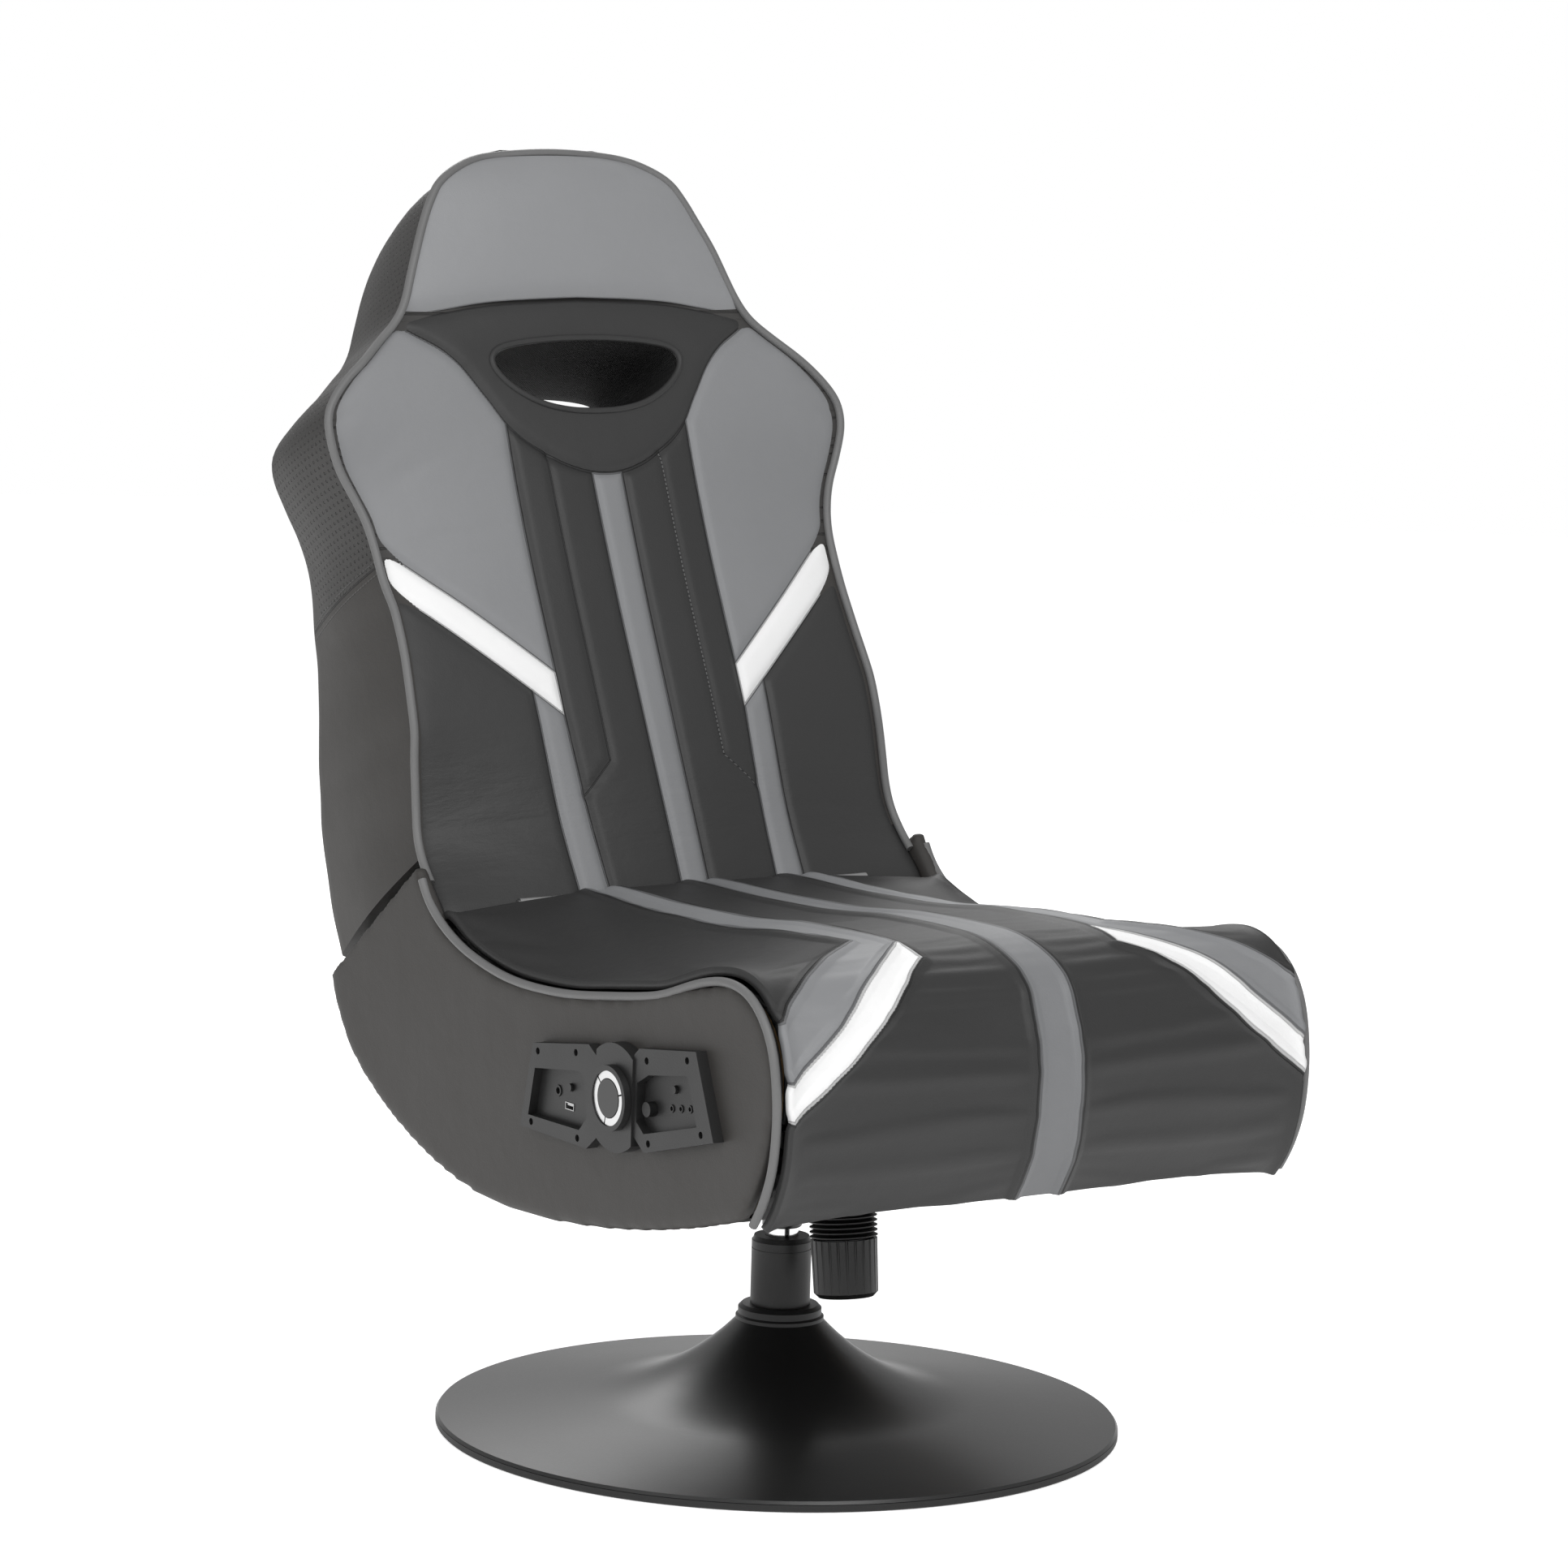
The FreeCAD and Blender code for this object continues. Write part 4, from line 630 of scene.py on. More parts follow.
def mesh_cloth(name, level, pitch=0.0024):
    """Knitted spacer mesh: rows of small holes."""
    finish = Finish(name)
    x, away, up, depth = back_axes(finish)
    u = (x * (2 * math.pi / pitch)).sine()
    v = (depth * (2 * math.pi / pitch)).sine()
    w = (up * (2 * math.pi / pitch)).sine()
    knit = (u * v + u * w) * 0.5 + 0.5
    normal = finish.bump(knit, 0.0006, 0.9)
    colour = finish.tint(grey(level), 0.45 + knit * 0.8)
    return finish.set(colour=colour, rough=0.85, normal=normal, specular=0.25)


def moulded(name, level, rough=0.42, grain=0.00008, scale=900.0):
    """Fine-grained black moulding."""
    finish = Finish(name)
    speck = finish.cells(scale)
    slow = finish.noise(18.0, 3.0)
    normal = finish.bump(speck, grain, 0.6)
    colour = finish.tint(grey(level), 0.9 + slow * 0.2)
    return finish.set(colour=colour, rough=rough + slow * 0.10, normal=normal)


def painted_foot():
    """Satin black powder coat with a few specks of dust."""
    finish = Finish("painted_foot")
    skin = finish.noise(420.0, 3.0)
    slow = finish.noise(5.0, 3.0)
    dust = 1 - finish.cells(110.0).over(0.055, 0.03)
    normal = finish.bump(skin, 0.00006, 0.5)
    colour = finish.mix(dust * 0.10, finish.tint(grey(27), 0.9 + slow * 0.2), grey(120))
    return finish.set(colour=colour, rough=0.30 + slow * 0.08 + skin * 0.05, normal=normal, specular=0.55,
                      coat=0.12, coat_rough=0.25)


def bare_metal(name, level, rough):
    """Metal with faint drawn lines."""
    finish = Finish(name)
    lines = finish.noise(1.0, 3.0, 0.6, finish.joined(*[axis * scale for axis, scale in zip(
        finish.axes(), (60.0, 60.0, 900.0))]))
    normal = finish.bump(lines, 0.00003, 0.4)
    colour = finish.tint(grey(level), 0.92 + lines * 0.12)
    return finish.set(colour=colour, metal=1.0, rough=rough + lines * 0.08, normal=normal)


def ply_wood():
    """Layered birch board."""
    finish = Finish("ply_wood")
    x, y, z = finish.axes()
    grain = finish.noise(1.0, 5.0, 0.6, finish.joined(x * 5.0, y * 60.0, z * 60.0))
    colour = finish.mix(grain, warm(150, 118, 80), warm(196, 164, 120))
    return finish.set(colour=colour, rough=0.7, normal=finish.bump(grain, 0.0004, 0.4))


# Stripe edges on the seat's sewing map. The side stripe's edges give the distance from the middle for
# a run along the profile, and the front corner's edges the run for a distance, all in metres.
SEAT_STRIPE_IN = [(0.0, 0.0858), (0.20, 0.0900), (0.45, 0.0955), (0.80, 0.0955)]
SEAT_STRIPE_OUT = [(0.0, 0.1140), (0.20, 0.1240), (0.36, 0.1290), (0.44, 0.1250), (0.80, 0.1250)]
CORNER_TOP = [(0.0, 0.345), (0.125, 0.4430), (0.195, 0.4915), (0.260, 0.5420)]
WHITE_TOP = [(0.0, 0.385), (0.0955, 0.4640), (0.165, 0.5200), (0.260, 0.5850)]
WHITE_LOW = [(0.0, 0.425), (0.0955, 0.4970), (0.155, 0.5450), (0.260, 0.6130)]
SEAT_RUN = 0.80
SEAT_HALF = 0.26


def seat_grid(columns, rows, spread):
    """Points of the seat pad's upper face and their places on the sewing map."""
    across = np.linspace(-1, 1, columns)
    profile = spline([(*middle, *side) for middle, side in SEAT_PROFILE], rows)
    share = 0.96 * np.abs(across) ** 3.3
    points = np.zeros((rows, columns, 3))
    points[..., 0] = across * spread
    for axis in (0, 1):
        middle = profile[:, axis, None] / 1000
        side = profile[:, axis + 2, None] / 1000
        points[..., axis + 1] = middle + (side - middle) * share
    step = np.linalg.norm(np.diff(points, axis=0), axis=2)
    run = np.vstack([np.zeros((1, columns)), np.cumsum(step, axis=0)])
    return points, run


def lay_grid(obj, points, run=None):
    """Puts a grid's vertices at the given points; run fills the sewing map."""
    put_places(obj, points.reshape(-1, 3))
    if run is None:
        return
    layer = obj.data.uv_layers.get("sewing") or obj.data.uv_layers.new(name="sewing")
    corners = np.empty(len(obj.data.loops), int)
    obj.data.loops.foreach_get("vertex_index", corners)
    pairs = np.stack([points[..., 0].ravel()[corners], run.ravel()[corners]], axis=1)
    layer.data.foreach_set("uv", pairs.astype(np.float32).ravel())
    obj.data.uv_layers.active = layer


def thicken(obj, thickness):
    """Gives a pad its body on the hidden side."""
    apply(obj, "SOLIDIFY", thickness=thickness, offset=-1.0, use_even_offset=False, use_rim=True)


def press(obj, distance, depth, width):
    """Sinks a sewn seam into a pad."""
    rows = places(obj)
    inwards = normals(obj)
    put_places(obj, rows - inwards * (depth * np.exp(-(distance / width) ** 2))[:, None])


class RockerSizes(bpy.types.PropertyGroup):
    """Sizes and levels that shape the padding and the light"""
    pad_swell: bpy.props.FloatProperty(
        name="Pad swell", description="Most that a pad stands proud of its seams", default=0.006,
        unit="LENGTH")
    seam_depth: bpy.props.FloatProperty(
        name="Seam depth", description="Depth of a sewn seam in a pad", default=0.0028, unit="LENGTH")
    piping_radius: bpy.props.FloatProperty(
        name="Piping radius", description="Radius of the grey piping", default=0.0037, unit="LENGTH")
    camera_lens: bpy.props.FloatProperty(
        name="Lens", description="Focal length of the camera in millimetres", default=129.75)
    lamp_level: bpy.props.FloatProperty(
        name="Lamp level", description="Strength of the studio lamps", default=1.0)


def sizes():
    """The chair's own properties."""
    return bpy.context.scene.rocker_sizes


def back_grid(columns, levels):
    """Points of the back's front face at the given heights, with their heights and distances."""
    across = np.linspace(-1, 1, columns)
    half, edge = lookup(BACK_EDGE, levels)
    middle, = lookup(BACK_MIDDLE, levels)
    depth = middle + (edge - middle) * across ** 2
    return half * across / 1000, levels / 1000, depth / 1000


def seam_level(away):
    """Height of the seam below the head panel, in mm."""
    keys, rows = smooth_table(HEAD_SEAM)
    return np.interp(away, keys, rows[:, 0])


class ROCKER_OT_back_pad(bpy.types.Operator):
    """Builds the sewn front pad of the back with its seams and head slot"""
    bl_idname = "rocker.back_pad"
    bl_label = "Back Pad"

    def execute(self, context):
        columns, rows = 93, 104
        across = np.linspace(-1, 1, columns)
        top = seam_level(np.abs(across) * 181) - 1.5
        share = np.linspace(0, 1, rows)[:, None]
        levels = -6 + (top[None, :] + 6) * share
        x, up, depth = back_grid(columns, levels)
        border = np.minimum(1 - np.abs(across)[None, :] * np.ones((rows, 1)), 1.0) * columns / 2
        depth = depth + 0.003 * np.exp(-(border / 1.2) ** 2)
        depth = depth + 0.004 * np.exp(-((1 - share) * rows / 1.0) ** 2)
        pad = sheet_of("back_pad", columns, rows)
        lay_grid(pad, leaned(x, up, depth))
        flat = np.stack([x.ravel(), up.ravel()], axis=1)
        seams = back_seams()
        gap = nearest_on(seams, flat)
        held = np.exp(-(gap / SEAM_HOLD) ** 2)
        edge = (np.abs(flat[:, 0]) > 0.985 * np.repeat(lookup(BACK_EDGE, levels)[0].ravel() / 1000, 1))
        held[edge] = 1.0
        rim = np.zeros((rows, columns), bool)
        rim[[0, -1]] = True
        held[rim.ravel()] = 1.0
        around = nearest_on([slot_line(), slot_line() * [-1, 1]], flat)
        held = np.maximum(held, np.exp(-(around / 0.006) ** 2))
        swell(pad, held, 4.0, sizes().pad_swell)
        apply(pad, "SUBSURF", levels=1, render_levels=1, subdivision_type="CATMULL_CLARK")
        x, up, depth = local_of(places(pad))
        flat = np.stack([x, up], axis=1)
        gap = nearest_on(seams, flat)
        press(pad, gap, sizes().seam_depth, PRESS_WIDTH)
        quilt = nearest_on(quilt_seams(), flat)
        press(pad, quilt, sizes().seam_depth * 0.6, 0.004)
        thicken(pad, PAD_THICKNESS)
        cut_slot(pad, 0.0)
        dress(pad, "back", back_leather())
        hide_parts("back_cushion")
        return {"FINISHED"}


def local_of(points):
    """Distance, height up the back and depth of world points."""
    rear = points[:, 1] - CREASE[1]
    high = points[:, 2] - CREASE[2]
    return points[:, 0], rear * LEAN_SIN + high * LEAN_COS, rear * LEAN_COS - high * LEAN_SIN


def both_sides(lines, per_metre):
    """Lines of the right half in metres, each with its mirror image."""
    pairs = []
    for line in lines:
        line = np.array(line, float) / per_metre
        pairs += [line, line * [-1, 1]]
    return pairs


def back_seams():
    """Seam lines of the back in its own plane, in metres."""
    right = [
        spline(VEE, 40),
        [(92.9, 426), (92.9, 163), (85.8, -6)],
        [(118.7, 184), (115, -6)],
        [(15.4, 383), (13.6, -6)],
        [(92.5, 201.3), (234, 329.9)],
        [(93.3, 163.4), (234, 290.4)],
    ]
    return both_sides(right, 1000)


def quilt_seams():
    """Topstitched lines of the back's middle panel."""
    return both_sides([[(58.5, 398), (58.5, 119), (88, 90.6)]], 1000)


def slot_line():
    """Right half of the head slot's outline."""
    top = spline(SLOT_TOP, 20)
    bottom = spline(SLOT_BOTTOM, 20)[::-1]
    return np.vstack([top, bottom]) / 1000


def slot_ring(number=72):
    """The whole outline of the head slot, evenly spaced."""
    right = slot_line()
    left = right[::-1] * [-1, 1]
    ring = np.vstack([right, left])
    ring = np.vstack([ring, ring[:1]])
    length = np.r_[0, np.cumsum(np.linalg.norm(np.diff(ring, axis=0), axis=1))]
    places_on = np.linspace(0, length[-1], number, endpoint=False)
    return np.stack([np.interp(places_on, length, ring[:, axis]) for axis in (0, 1)], axis=1)


def slot_cutter(grow):
    """A block in the shape of the head slot, right through the back."""
    ring = slot_ring()
    deselect()
    bpy.ops.mesh.primitive_cylinder_add(vertices=len(ring), radius=1, depth=2, end_fill_type="NGON")
    obj = bpy.context.object
    rows = places(obj)
    angle = np.arctan2(rows[:, 1], rows[:, 0])
    order = np.round(angle / (2 * math.pi) * len(ring)).astype(int) % len(ring)
    middle = np.array([0.0, 0.472])
    spread = (ring[order] - middle) * (1 + grow) + middle
    depth = np.where(rows[:, 2] > 0, 0.5, -0.2)
    put_places(obj, leaned(spread[:, 0], spread[:, 1], depth))
    only(obj)
    bpy.ops.object.mode_set(mode="EDIT")
    bpy.ops.mesh.select_all(action="SELECT")
    bpy.ops.mesh.normals_make_consistent(inside=False)
    bpy.ops.object.mode_set(mode="OBJECT")
    return obj


def cut_slot(obj, grow):
    """Cuts the head slot, grown by a share, out of a piece."""
    cutter = slot_cutter(grow)
    apply(obj, "BOOLEAN", object=cutter, operation="DIFFERENCE", solver="EXACT")
    bpy.data.objects.remove(cutter)



class ROCKER_OT_head_pad(bpy.types.Operator):
    """Builds the grey head panel above the slot"""
    bl_idname = "rocker.head_pad"
    bl_label = "Head Pad"

    def execute(self, context):
        columns, rows = 67, 34
        across = np.linspace(-1, 1, columns)
        low = seam_level(np.abs(across) * 181) + 1.0
        share = np.linspace(0, 1, rows)[:, None]
        share = 1 - (1 - share) ** 1.4
        levels = low[None, :] + (671 - low[None, :]) * share
        x, up, depth = back_grid(columns, levels)
        depth = depth - 0.0015
        depth = depth + 0.005 * np.exp(-(np.arange(rows)[:, None] / 1.0) ** 2)
        pad = sheet_of("head_pad", columns, rows)
        lay_grid(pad, leaned(x, up, depth))
        held = np.zeros((rows, columns))
        held[[0, -1]] = 1
        held[:, [0, -1]] = 1
        swell(pad, held.ravel(), 4.0, sizes().pad_swell * 1.1)
        apply(pad, "SUBSURF", levels=2, render_levels=2)
        thicken(pad, PAD_THICKNESS)
        dress(pad, "back", head_leather())
        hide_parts("headrest_cushion")
        return {"FINISHED"}


class ROCKER_OT_back_case(bpy.types.Operator):
    """Builds the padded sides and rear of the back"""
    bl_idname = "rocker.back_case"
    bl_label = "Back Case"

    def execute(self, context):
        rows = 118
        levels = np.concatenate([np.linspace(-30, 668, rows), [674, 678, 680]])
        inward = np.concatenate([np.zeros(rows), [2, 8, 18]])
        half, edge = lookup(BACK_EDGE, np.minimum(levels, 671))
        middle, = lookup(BACK_MIDDLE, np.minimum(levels, 671))
        rear, share = lookup(BACK_REAR, np.minimum(levels, 671))
        half = np.where(levels > 671, 66, half) - inward
        rear = rear - inward * 0.5
        side = np.linspace(0, 1, 22)[None, :]
        corner = np.array([0.3, 0.65])[None, :]
        turn = np.linspace(-1, 1, 39)[None, :]
        half, edge, middle, rear, share = (row[:, None] for row in (half, edge, middle, rear, share))
        rear_half = half * share
        wall_x = half + (rear_half - half) * side + 6 * np.sin(math.pi * side)
        wall_d = edge + 1 + (rear - 9 - edge) * side
        bend_x = rear_half - 7 * corner ** 2
        bend_d = rear - 9 + 9 * corner
        flat_x = (rear_half - 9) * -turn
        flat_d = rear + 1 + 6 * (1 - turn ** 2)
        face_x = (half - 1.5) * turn
        face_d = middle + 9 + (edge - 8 - middle) * turn ** 2
        x = np.hstack([wall_x, bend_x, flat_x, -bend_x[:, ::-1], -wall_x[:, ::-1], face_x])
        d = np.hstack([wall_d, bend_d, flat_d, bend_d[:, ::-1], wall_d[:, ::-1], face_d])
        x = np.hstack([x, x[:, :1]])
        d = np.hstack([d, d[:, :1]])
        up = np.repeat(levels[:, None], x.shape[1], axis=1)
        case = sheet_of("back_case", x.shape[1], x.shape[0])
        lay_grid(case, leaned(x / 1000, up / 1000, d / 1000))
        only(case)
        bpy.ops.object.mode_set(mode="EDIT")
        bpy.ops.mesh.select_all(action="SELECT")
        bpy.ops.mesh.remove_doubles(threshold=SEAM_WELD_GAP)
        bpy.ops.mesh.select_all(action="DESELECT")
        bpy.ops.mesh.select_non_manifold()
        bpy.ops.mesh.fill_holes(sides=0)
        bpy.ops.mesh.select_all(action="SELECT")
        bpy.ops.mesh.normals_make_consistent(inside=False)
        bpy.ops.mesh.bisect(plane_co=(0, 0.1869, 0.4825), plane_no=(0, 0.6098, 0.7927), use_fill=True,
                            clear_inner=True)
        bpy.ops.object.mode_set(mode="OBJECT")
        cut_slot(case, 0.02)
        dress(case, "back", gusset_leather(), smooth=False)
        only(case)
        bpy.ops.object.shade_smooth_by_angle(angle=math.radians(40))
        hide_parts("rear_cover", "back_board")
        return {"FINISHED"}


class ROCKER_OT_slot(bpy.types.Operator):
    """Lines the head slot with mesh and rolls its rim"""
    bl_idname = "rocker.slot"
    bl_label = "Head Slot"

    def execute(self, context):
        ring = slot_ring(48)
        middle = lookup(BACK_MIDDLE, ring[:, 1] * 1000)[0] / 1000
        half, edge = (column / 1000 for column in lookup(BACK_EDGE, ring[:, 1] * 1000))
        front = middle + (edge - middle) * (np.abs(ring[:, 0]) / half) ** 2
        rim = tube_along("slot_rim", leaned(ring[:, 0], ring[:, 1], front + 0.0005), 0.0030, closed=True)
        dress(rim, "back", plain_leather("rim_leather", grey(50)))
        ring = slot_ring(96)
        ring = np.vstack([ring, ring[:1]])
        inner = (ring - [0, 0.472]) * 0.985 + [0, 0.472]
        share = np.linspace(0, 1, 14)[:, None]
        middle = lookup(BACK_MIDDLE, inner[:, 1] * 1000)[0] / 1000
        rear = lookup(BACK_REAR, inner[:, 1] * 1000)[0]
        depth = middle + 0.001 + (rear / 1000 + 0.013 - middle) * share
        liner = sheet_of("slot_lining", len(ring), len(share))
        wide = np.repeat(inner[None, :, 0], len(share), axis=0) * (1 + 0.02 * np.sin(math.pi * share))
        high = np.repeat(inner[None, :, 1], len(share), axis=0)
        lay_grid(liner, leaned(wide, high, depth))
        weld(liner, SEAM_WELD_GAP)
        apply(liner, "SOLIDIFY", thickness=0.0012, offset=0.0)
        dress(liner, "back", mesh_cloth("slot_mesh", 34))
        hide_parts("slot_liner")
        return {"FINISHED"}


class ROCKER_OT_seat_pad(bpy.types.Operator):
    """Builds the sewn top and front of the seat"""
    bl_idname = "rocker.seat_pad"
    bl_label = "Seat Pad"

    def execute(self, context):
        columns, rows = 93, 132
        points, run = seat_grid(columns, rows, 0.2525)
        across = np.linspace(-1, 1, columns)
        border = (1 - np.abs(across)) * columns / 2
        pad = sheet_of("seat_pad", columns, rows)
        lay_grid(pad, points, run)
        tuck = (0.004 * np.exp(-(border / 1.0) ** 2))[None, :] * np.ones((rows, 1))
        put_places(pad, places(pad) - normals(pad) * tuck.reshape(-1, 1))
        flat = np.stack([points[..., 0].ravel(), run.ravel()], axis=1)
        gap = nearest_on(seat_seams(), flat)
        held = np.exp(-(gap / SEAM_HOLD) ** 2)
        frame_rows = np.zeros((rows, columns), bool)
        frame_rows[[0, 1, -1]] = True
        frame_rows[:, [0, -1]] = True
        held[frame_rows.ravel()] = 1.0
        swell(pad, held, 4.0, sizes().pad_swell)
        apply(pad, "SUBSURF", levels=1, render_levels=1, uv_smooth="NONE")
        flat = sewing_places(pad)
        press(pad, nearest_on(seat_seams(), flat), sizes().seam_depth, PRESS_WIDTH)
        thicken(pad, PAD_THICKNESS)
        dress(pad, "seat", seat_leather())
        return {"FINISHED"}


def sewing_places(obj):
    """Each vertex's place on the sewing map."""
    corners = np.empty(len(obj.data.loops), int)
    obj.data.loops.foreach_get("vertex_index", corners)
    pairs = np.empty(len(obj.data.loops) * 2, np.float32)
    obj.data.uv_layers["sewing"].data.foreach_get("uv", pairs)
    rows = np.zeros((len(obj.data.vertices), 2))
    rows[corners] = pairs.reshape(-1, 2)
    return rows


def seat_seams():
    """Seam lines of the seat on its sewing map."""
    inner = [(away, run) for run, away in SEAT_STRIPE_IN[:3]] + [(0.0955, 0.497)]
    outer = [(away, run) for run, away in SEAT_STRIPE_OUT[:4]]
    ends = [CORNER_TOP[1:], WHITE_TOP[1:], WHITE_LOW[1:]]
    centre = [(0.0136, 0.0), (0.0231, 0.76)]
    return both_sides([inner, outer, centre] + ends, 1)


class ROCKER_OT_seat_case(bpy.types.Operator):
    """Builds the seat's body below the pad and its padded sides"""
    bl_idname = "rocker.seat_case"
    bl_label = "Seat Case"

    def execute(self, context):
        case = copied_node("seat_cushion", "seat_case")
        apply(case, "REMESH", mode="VOXEL", voxel_size=0.006, adaptivity=0.0)
        apply(case, "SMOOTH", factor=0.5, iterations=3)
        rows = places(case)
        inwards = normals(case)
        outer = (inwards[:, 2] > 0.2) | (inwards[:, 1] < -0.3)
        rows = rows - inwards * np.where(outer, 0.008, 0.0)[:, None]
        put_places(case, rows)
        dress(case, "seat", plain_leather("seat_case_leather", grey(34)))
        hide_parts("seat_cushion")
        leather = plain_leather("side_leather", warm(56, 54, 52))
        for name in ("right", "left"):
            node = "seat_side_cover_" + name
            cover = copied_node(node, "seat_side_" + name)
            apply(cover, "REMESH", mode="VOXEL", voxel_size=0.0045, adaptivity=0.0)
            apply(cover, "SMOOTH", factor=0.6, iterations=6)
            dress(cover, "seat", leather)
            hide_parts(node)
        return {"FINISHED"}


class ROCKER_OT_piping(bpy.types.Operator):
    """Runs the grey piping round the back and along both sides of the seat"""
    bl_idname = "rocker.piping"
    bl_label = "Piping"

    def execute(self, context):
        leather = piping_leather()
        radius = sizes().piping_radius
        side = spline(BACK_EDGE, 90)
        side = side[side[:, 0] > 26]
        middle = lookup(BACK_MIDDLE, np.array([671.0]))[0][0]
        right = [(half + 1.0, up + (1.5 if up > 640 else 0), depth - 0.5) for up, half, depth in side]
        top = [(40, 674.5, middle + 4), (0, 675.5, middle + 1), (-40, 674.5, middle + 4)]
        line = right + top + [(-x, up, depth) for x, up, depth in reversed(right)]
        line = np.array(line) / 1000
        back = tube_along("back_piping_tube", leaned(line[:, 0], line[:, 1], line[:, 2]), radius)
        dress(back, "back", leather)
        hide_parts("back_piping")
        for name, sign in (("right", -1), ("left", 1)):
            points = [(sign * 0.2590, y / 1000, z / 1000) for y, z in SEAT_PIPING]
            tube = tube_along("seat_piping_tube_" + name, points, radius)
            dress(tube, "seat", leather)
            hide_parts("seat_piping_" + name)
        return {"FINISHED"}


class ROCKER_OT_finishes(bpy.types.Operator):
    """Gives the frame's own parts their finishes"""
    bl_idname = "rocker.finishes"
    bl_label = "Frame Finishes"

    def execute(self, context):
        paint = painted_foot()
        plastic = moulded("panel_plastic", 30, 0.40)
        knob = moulded("knob_plastic", 20, 0.38)
        rubber = moulded("black_rubber", 26, 0.6, 0.00012, 500.0)
        steel = bare_metal("zinc_steel", 180, 0.32)
        chrome = bare_metal("polished_chrome", 225, 0.10)
        satin = bare_metal("satin_chrome", 214, 0.26)
        cloth = mesh_cloth("under_cloth", 30, 0.0018)
        wood = ply_wood()
        gloss = moulded("gloss_cap", 16, 0.10, 0.00001)
        board = moulded("circuit_board", 70, 0.5)
        sets = {
            "base_trumpet": paint, "column_sleeve": moulded("sleeve_paint", 40, 0.45),
            "tilt_socket": paint, "tilt_bracket": paint, "seat_plate": paint,
            "base_rim_trim": rubber, "base_collar": plastic, "column_bush": plastic,
            "base_hub_tube": steel, "base_hub_web": steel, "bearing_seat": steel, "thrust_bearing": steel,
            "piston_rod": chrome, "retaining_clip": steel, "tilt_axle": steel, "tilt_stop_pads": rubber,
            "plate_bolts": steel, "tension_screw": steel, "tension_spring": steel,
            "tension_bellows": knob, "tension_knob": knob, "spring_washer": steel,
            "seat_side_boards": wood, "base_board": wood, "cross_boards": wood, "seat_webbing": cloth,
            "underside_cover": cloth, "control_panel": plastic, "panel_screws": knob, "dc_jack": plastic,
            "usb_port": steel, "audio_jacks": plastic, "circuit_boards": board,
            "hinge_leaves_seat": steel, "hinge_pins": steel, "hinge_leaves_back": steel,
            "stop_bolts": chrome, "woofer": plastic, "woofer_grille": plastic, "side_speakers": plastic,
            "dial_ring": plastic, "ring_button_1": satin, "ring_button_2": satin, "ring_button_3": satin,
            "centre_button": gloss, "tone_knob": knob, "bay_button_left": plastic,
            "bay_button_right": plastic,
        }
        for node, material in sets.items():
            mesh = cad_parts[node].data
            mesh.materials.clear()
            mesh.materials.append(material)
        return {"FINISHED"}


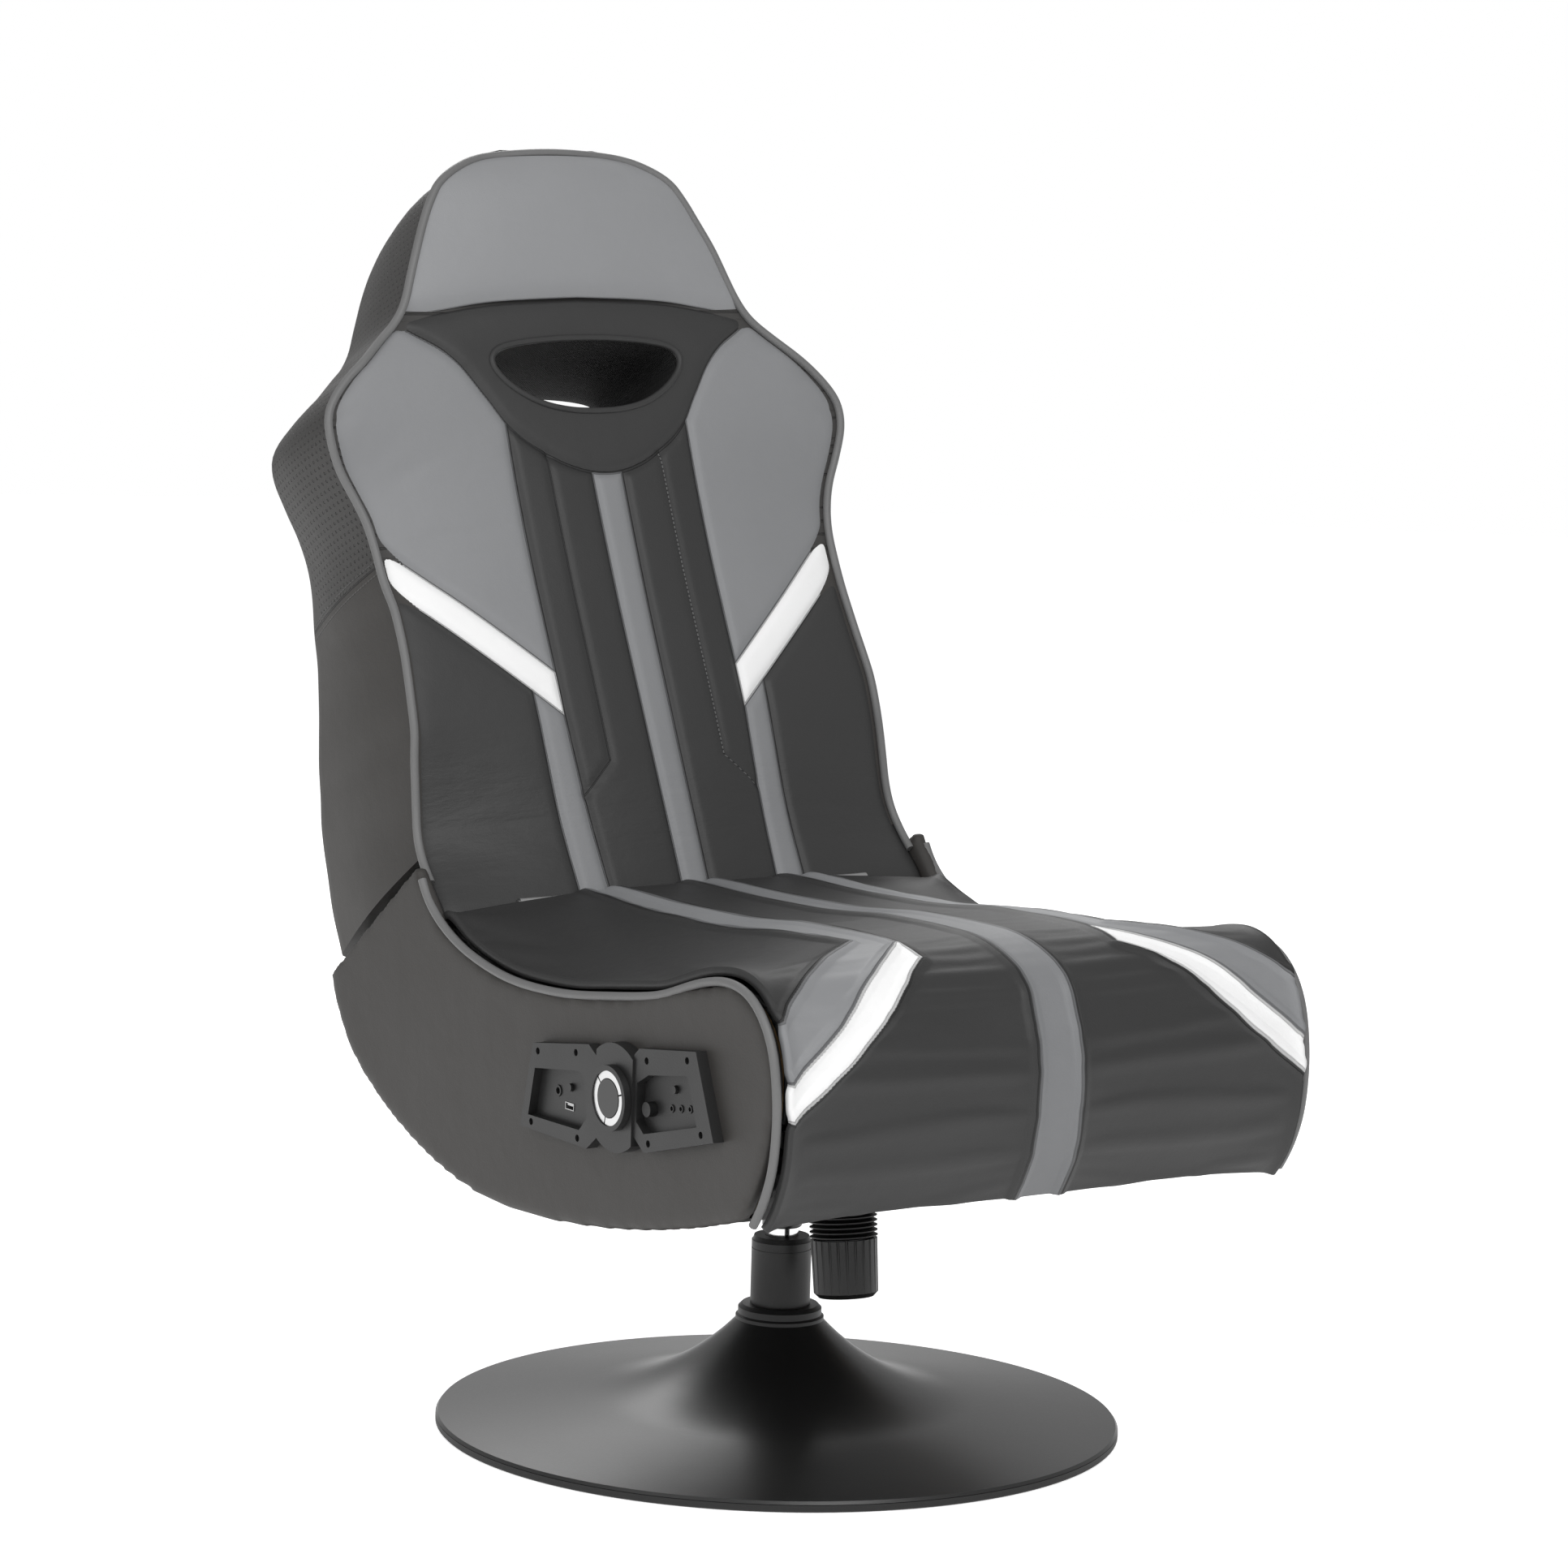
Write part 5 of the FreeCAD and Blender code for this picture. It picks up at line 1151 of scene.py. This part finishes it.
class ROCKER_OT_stage(bpy.types.Operator):
    """Sets the floor, the lamps and the camera"""
    bl_idname = "rocker.stage"
    bl_label = "Stage"

    def execute(self, context):
        scene = context.scene
        scene.view_settings.view_transform = "Standard"
        deselect()
        bpy.ops.mesh.primitive_circle_add(vertices=96, radius=9.0, fill_type="NGON",
                                          location=(0, 0, -0.0005))
        floor = context.object
        floor.name = "stage_floor"
        finish = Finish("pale_floor")
        tree = finish.tree
        finish.set(colour=grey(248), rough=0.75)
        path = tree.nodes.new("ShaderNodeLightPath")
        camera_ray, glossy_ray = (Value(finish, path.outputs[name])
                                  for name in ("Is Camera Ray", "Is Glossy Ray"))
        seen = camera_ray.most(glossy_ray)
        glow = tree.nodes.new("ShaderNodeEmission")
        glow.inputs["Color"].default_value = (1, 1, 1, 1)
        finish.plug(glow.inputs["Strength"], seen * 0.62)
        add = tree.nodes.new("ShaderNodeAddShader")
        tree.links.new(finish.shader.outputs[0], add.inputs[0])
        tree.links.new(glow.outputs[0], add.inputs[1])
        tree.links.new(add.outputs[0], tree.nodes["Material Output"].inputs["Surface"])
        floor.data.materials.append(finish.material)
        world = bpy.data.worlds.new("studio")
        scene.world = world
        world.use_nodes = True
        nodes = world.node_tree.nodes
        back = nodes["Background"]
        back.inputs["Color"].default_value = (1, 1, 1, 1)
        path = nodes.new("ShaderNodeLightPath")
        level = nodes.new("ShaderNodeMapRange")
        level.inputs["To Min"].default_value = 0.46 * sizes().lamp_level
        level.inputs["To Max"].default_value = 1.0
        world.node_tree.links.new(path.outputs["Is Camera Ray"], level.inputs["Value"])
        world.node_tree.links.new(level.outputs["Result"], back.inputs["Strength"])
        lamps = [
            ("key_lamp", (-0.6, -3.0, 3.2), 1.8, 66.0),
            ("fill_lamp", (-3.2, -1.0, 2.2), 2.0, 34.0),
            ("rim_lamp", (1.2, 2.6, 2.6), 2.0, 46.0),
        ]
        for name, place, size, power in lamps:
            light = bpy.data.lights.new(name, "AREA")
            light.shape = "SQUARE"
            light.size = size
            light.energy = power * sizes().lamp_level
            lamp = bpy.data.objects.new(name, light)
            scene.collection.objects.link(lamp)
            lamp.location = place
            aim = Vector((0, 0, 0.5)) - Vector(place)
            lamp.rotation_euler = aim.to_track_quat("-Z", "Y").to_euler()
        eye = bpy.data.cameras.new("camera")
        eye.sensor_fit = "HORIZONTAL"
        eye.sensor_width = 36.0
        eye.lens = sizes().camera_lens
        eye.clip_end = 50.0
        camera = bpy.data.objects.new("camera", eye)
        scene.collection.objects.link(camera)
        azimuth, pitch, roll = (math.radians(angle) for angle in (-34.114, 7.730, 1.615))
        away = Vector((math.sin(azimuth) * math.cos(pitch), -math.cos(azimuth) * math.cos(pitch),
                       math.sin(pitch)))
        right = Vector((math.cos(azimuth), math.sin(azimuth), 0))
        up = away.cross(right)
        across = right * math.cos(roll) + up * math.sin(roll)
        high = up * math.cos(roll) - right * math.sin(roll)
        turn = Matrix((across, high, away)).transposed().to_4x4()
        camera.matrix_world = Matrix.Translation((-2.6395, -3.8805, 1.1865)) @ turn
        scene.camera = camera
        return {"FINISHED"}


STEPS = ("stage", "finishes", "back_case", "back_pad", "head_pad", "slot", "seat_case", "seat_pad",
         "piping")


class ROCKER_PT_chair(bpy.types.Panel):
    """Lists the chair's sizes and the steps that build it"""
    bl_label = "Rocker Chair"
    bl_space_type = "VIEW_3D"
    bl_region_type = "UI"
    bl_category = "Rocker Chair"

    def draw(self, context):
        for name in RockerSizes.__annotations__:
            self.layout.prop(context.scene.rocker_sizes, name)
        for step in STEPS:
            self.layout.operator("rocker." + step)


CLASSES = (RockerSizes, ROCKER_OT_stage, ROCKER_OT_finishes, ROCKER_OT_back_case, ROCKER_OT_back_pad,
           ROCKER_OT_head_pad, ROCKER_OT_slot, ROCKER_OT_seat_case, ROCKER_OT_seat_pad, ROCKER_OT_piping,
           ROCKER_PT_chair)


def register():
    for item in CLASSES:
        bpy.utils.register_class(item)
    bpy.types.Scene.rocker_sizes = bpy.props.PointerProperty(type=RockerSizes)


def unregister():
    del bpy.types.Scene.rocker_sizes
    for item in reversed(CLASSES):
        bpy.utils.unregister_class(item)


def main():
    register()
    for step in STEPS:
        getattr(bpy.ops.rocker, step)()


if __name__ == "__main__":
    main()
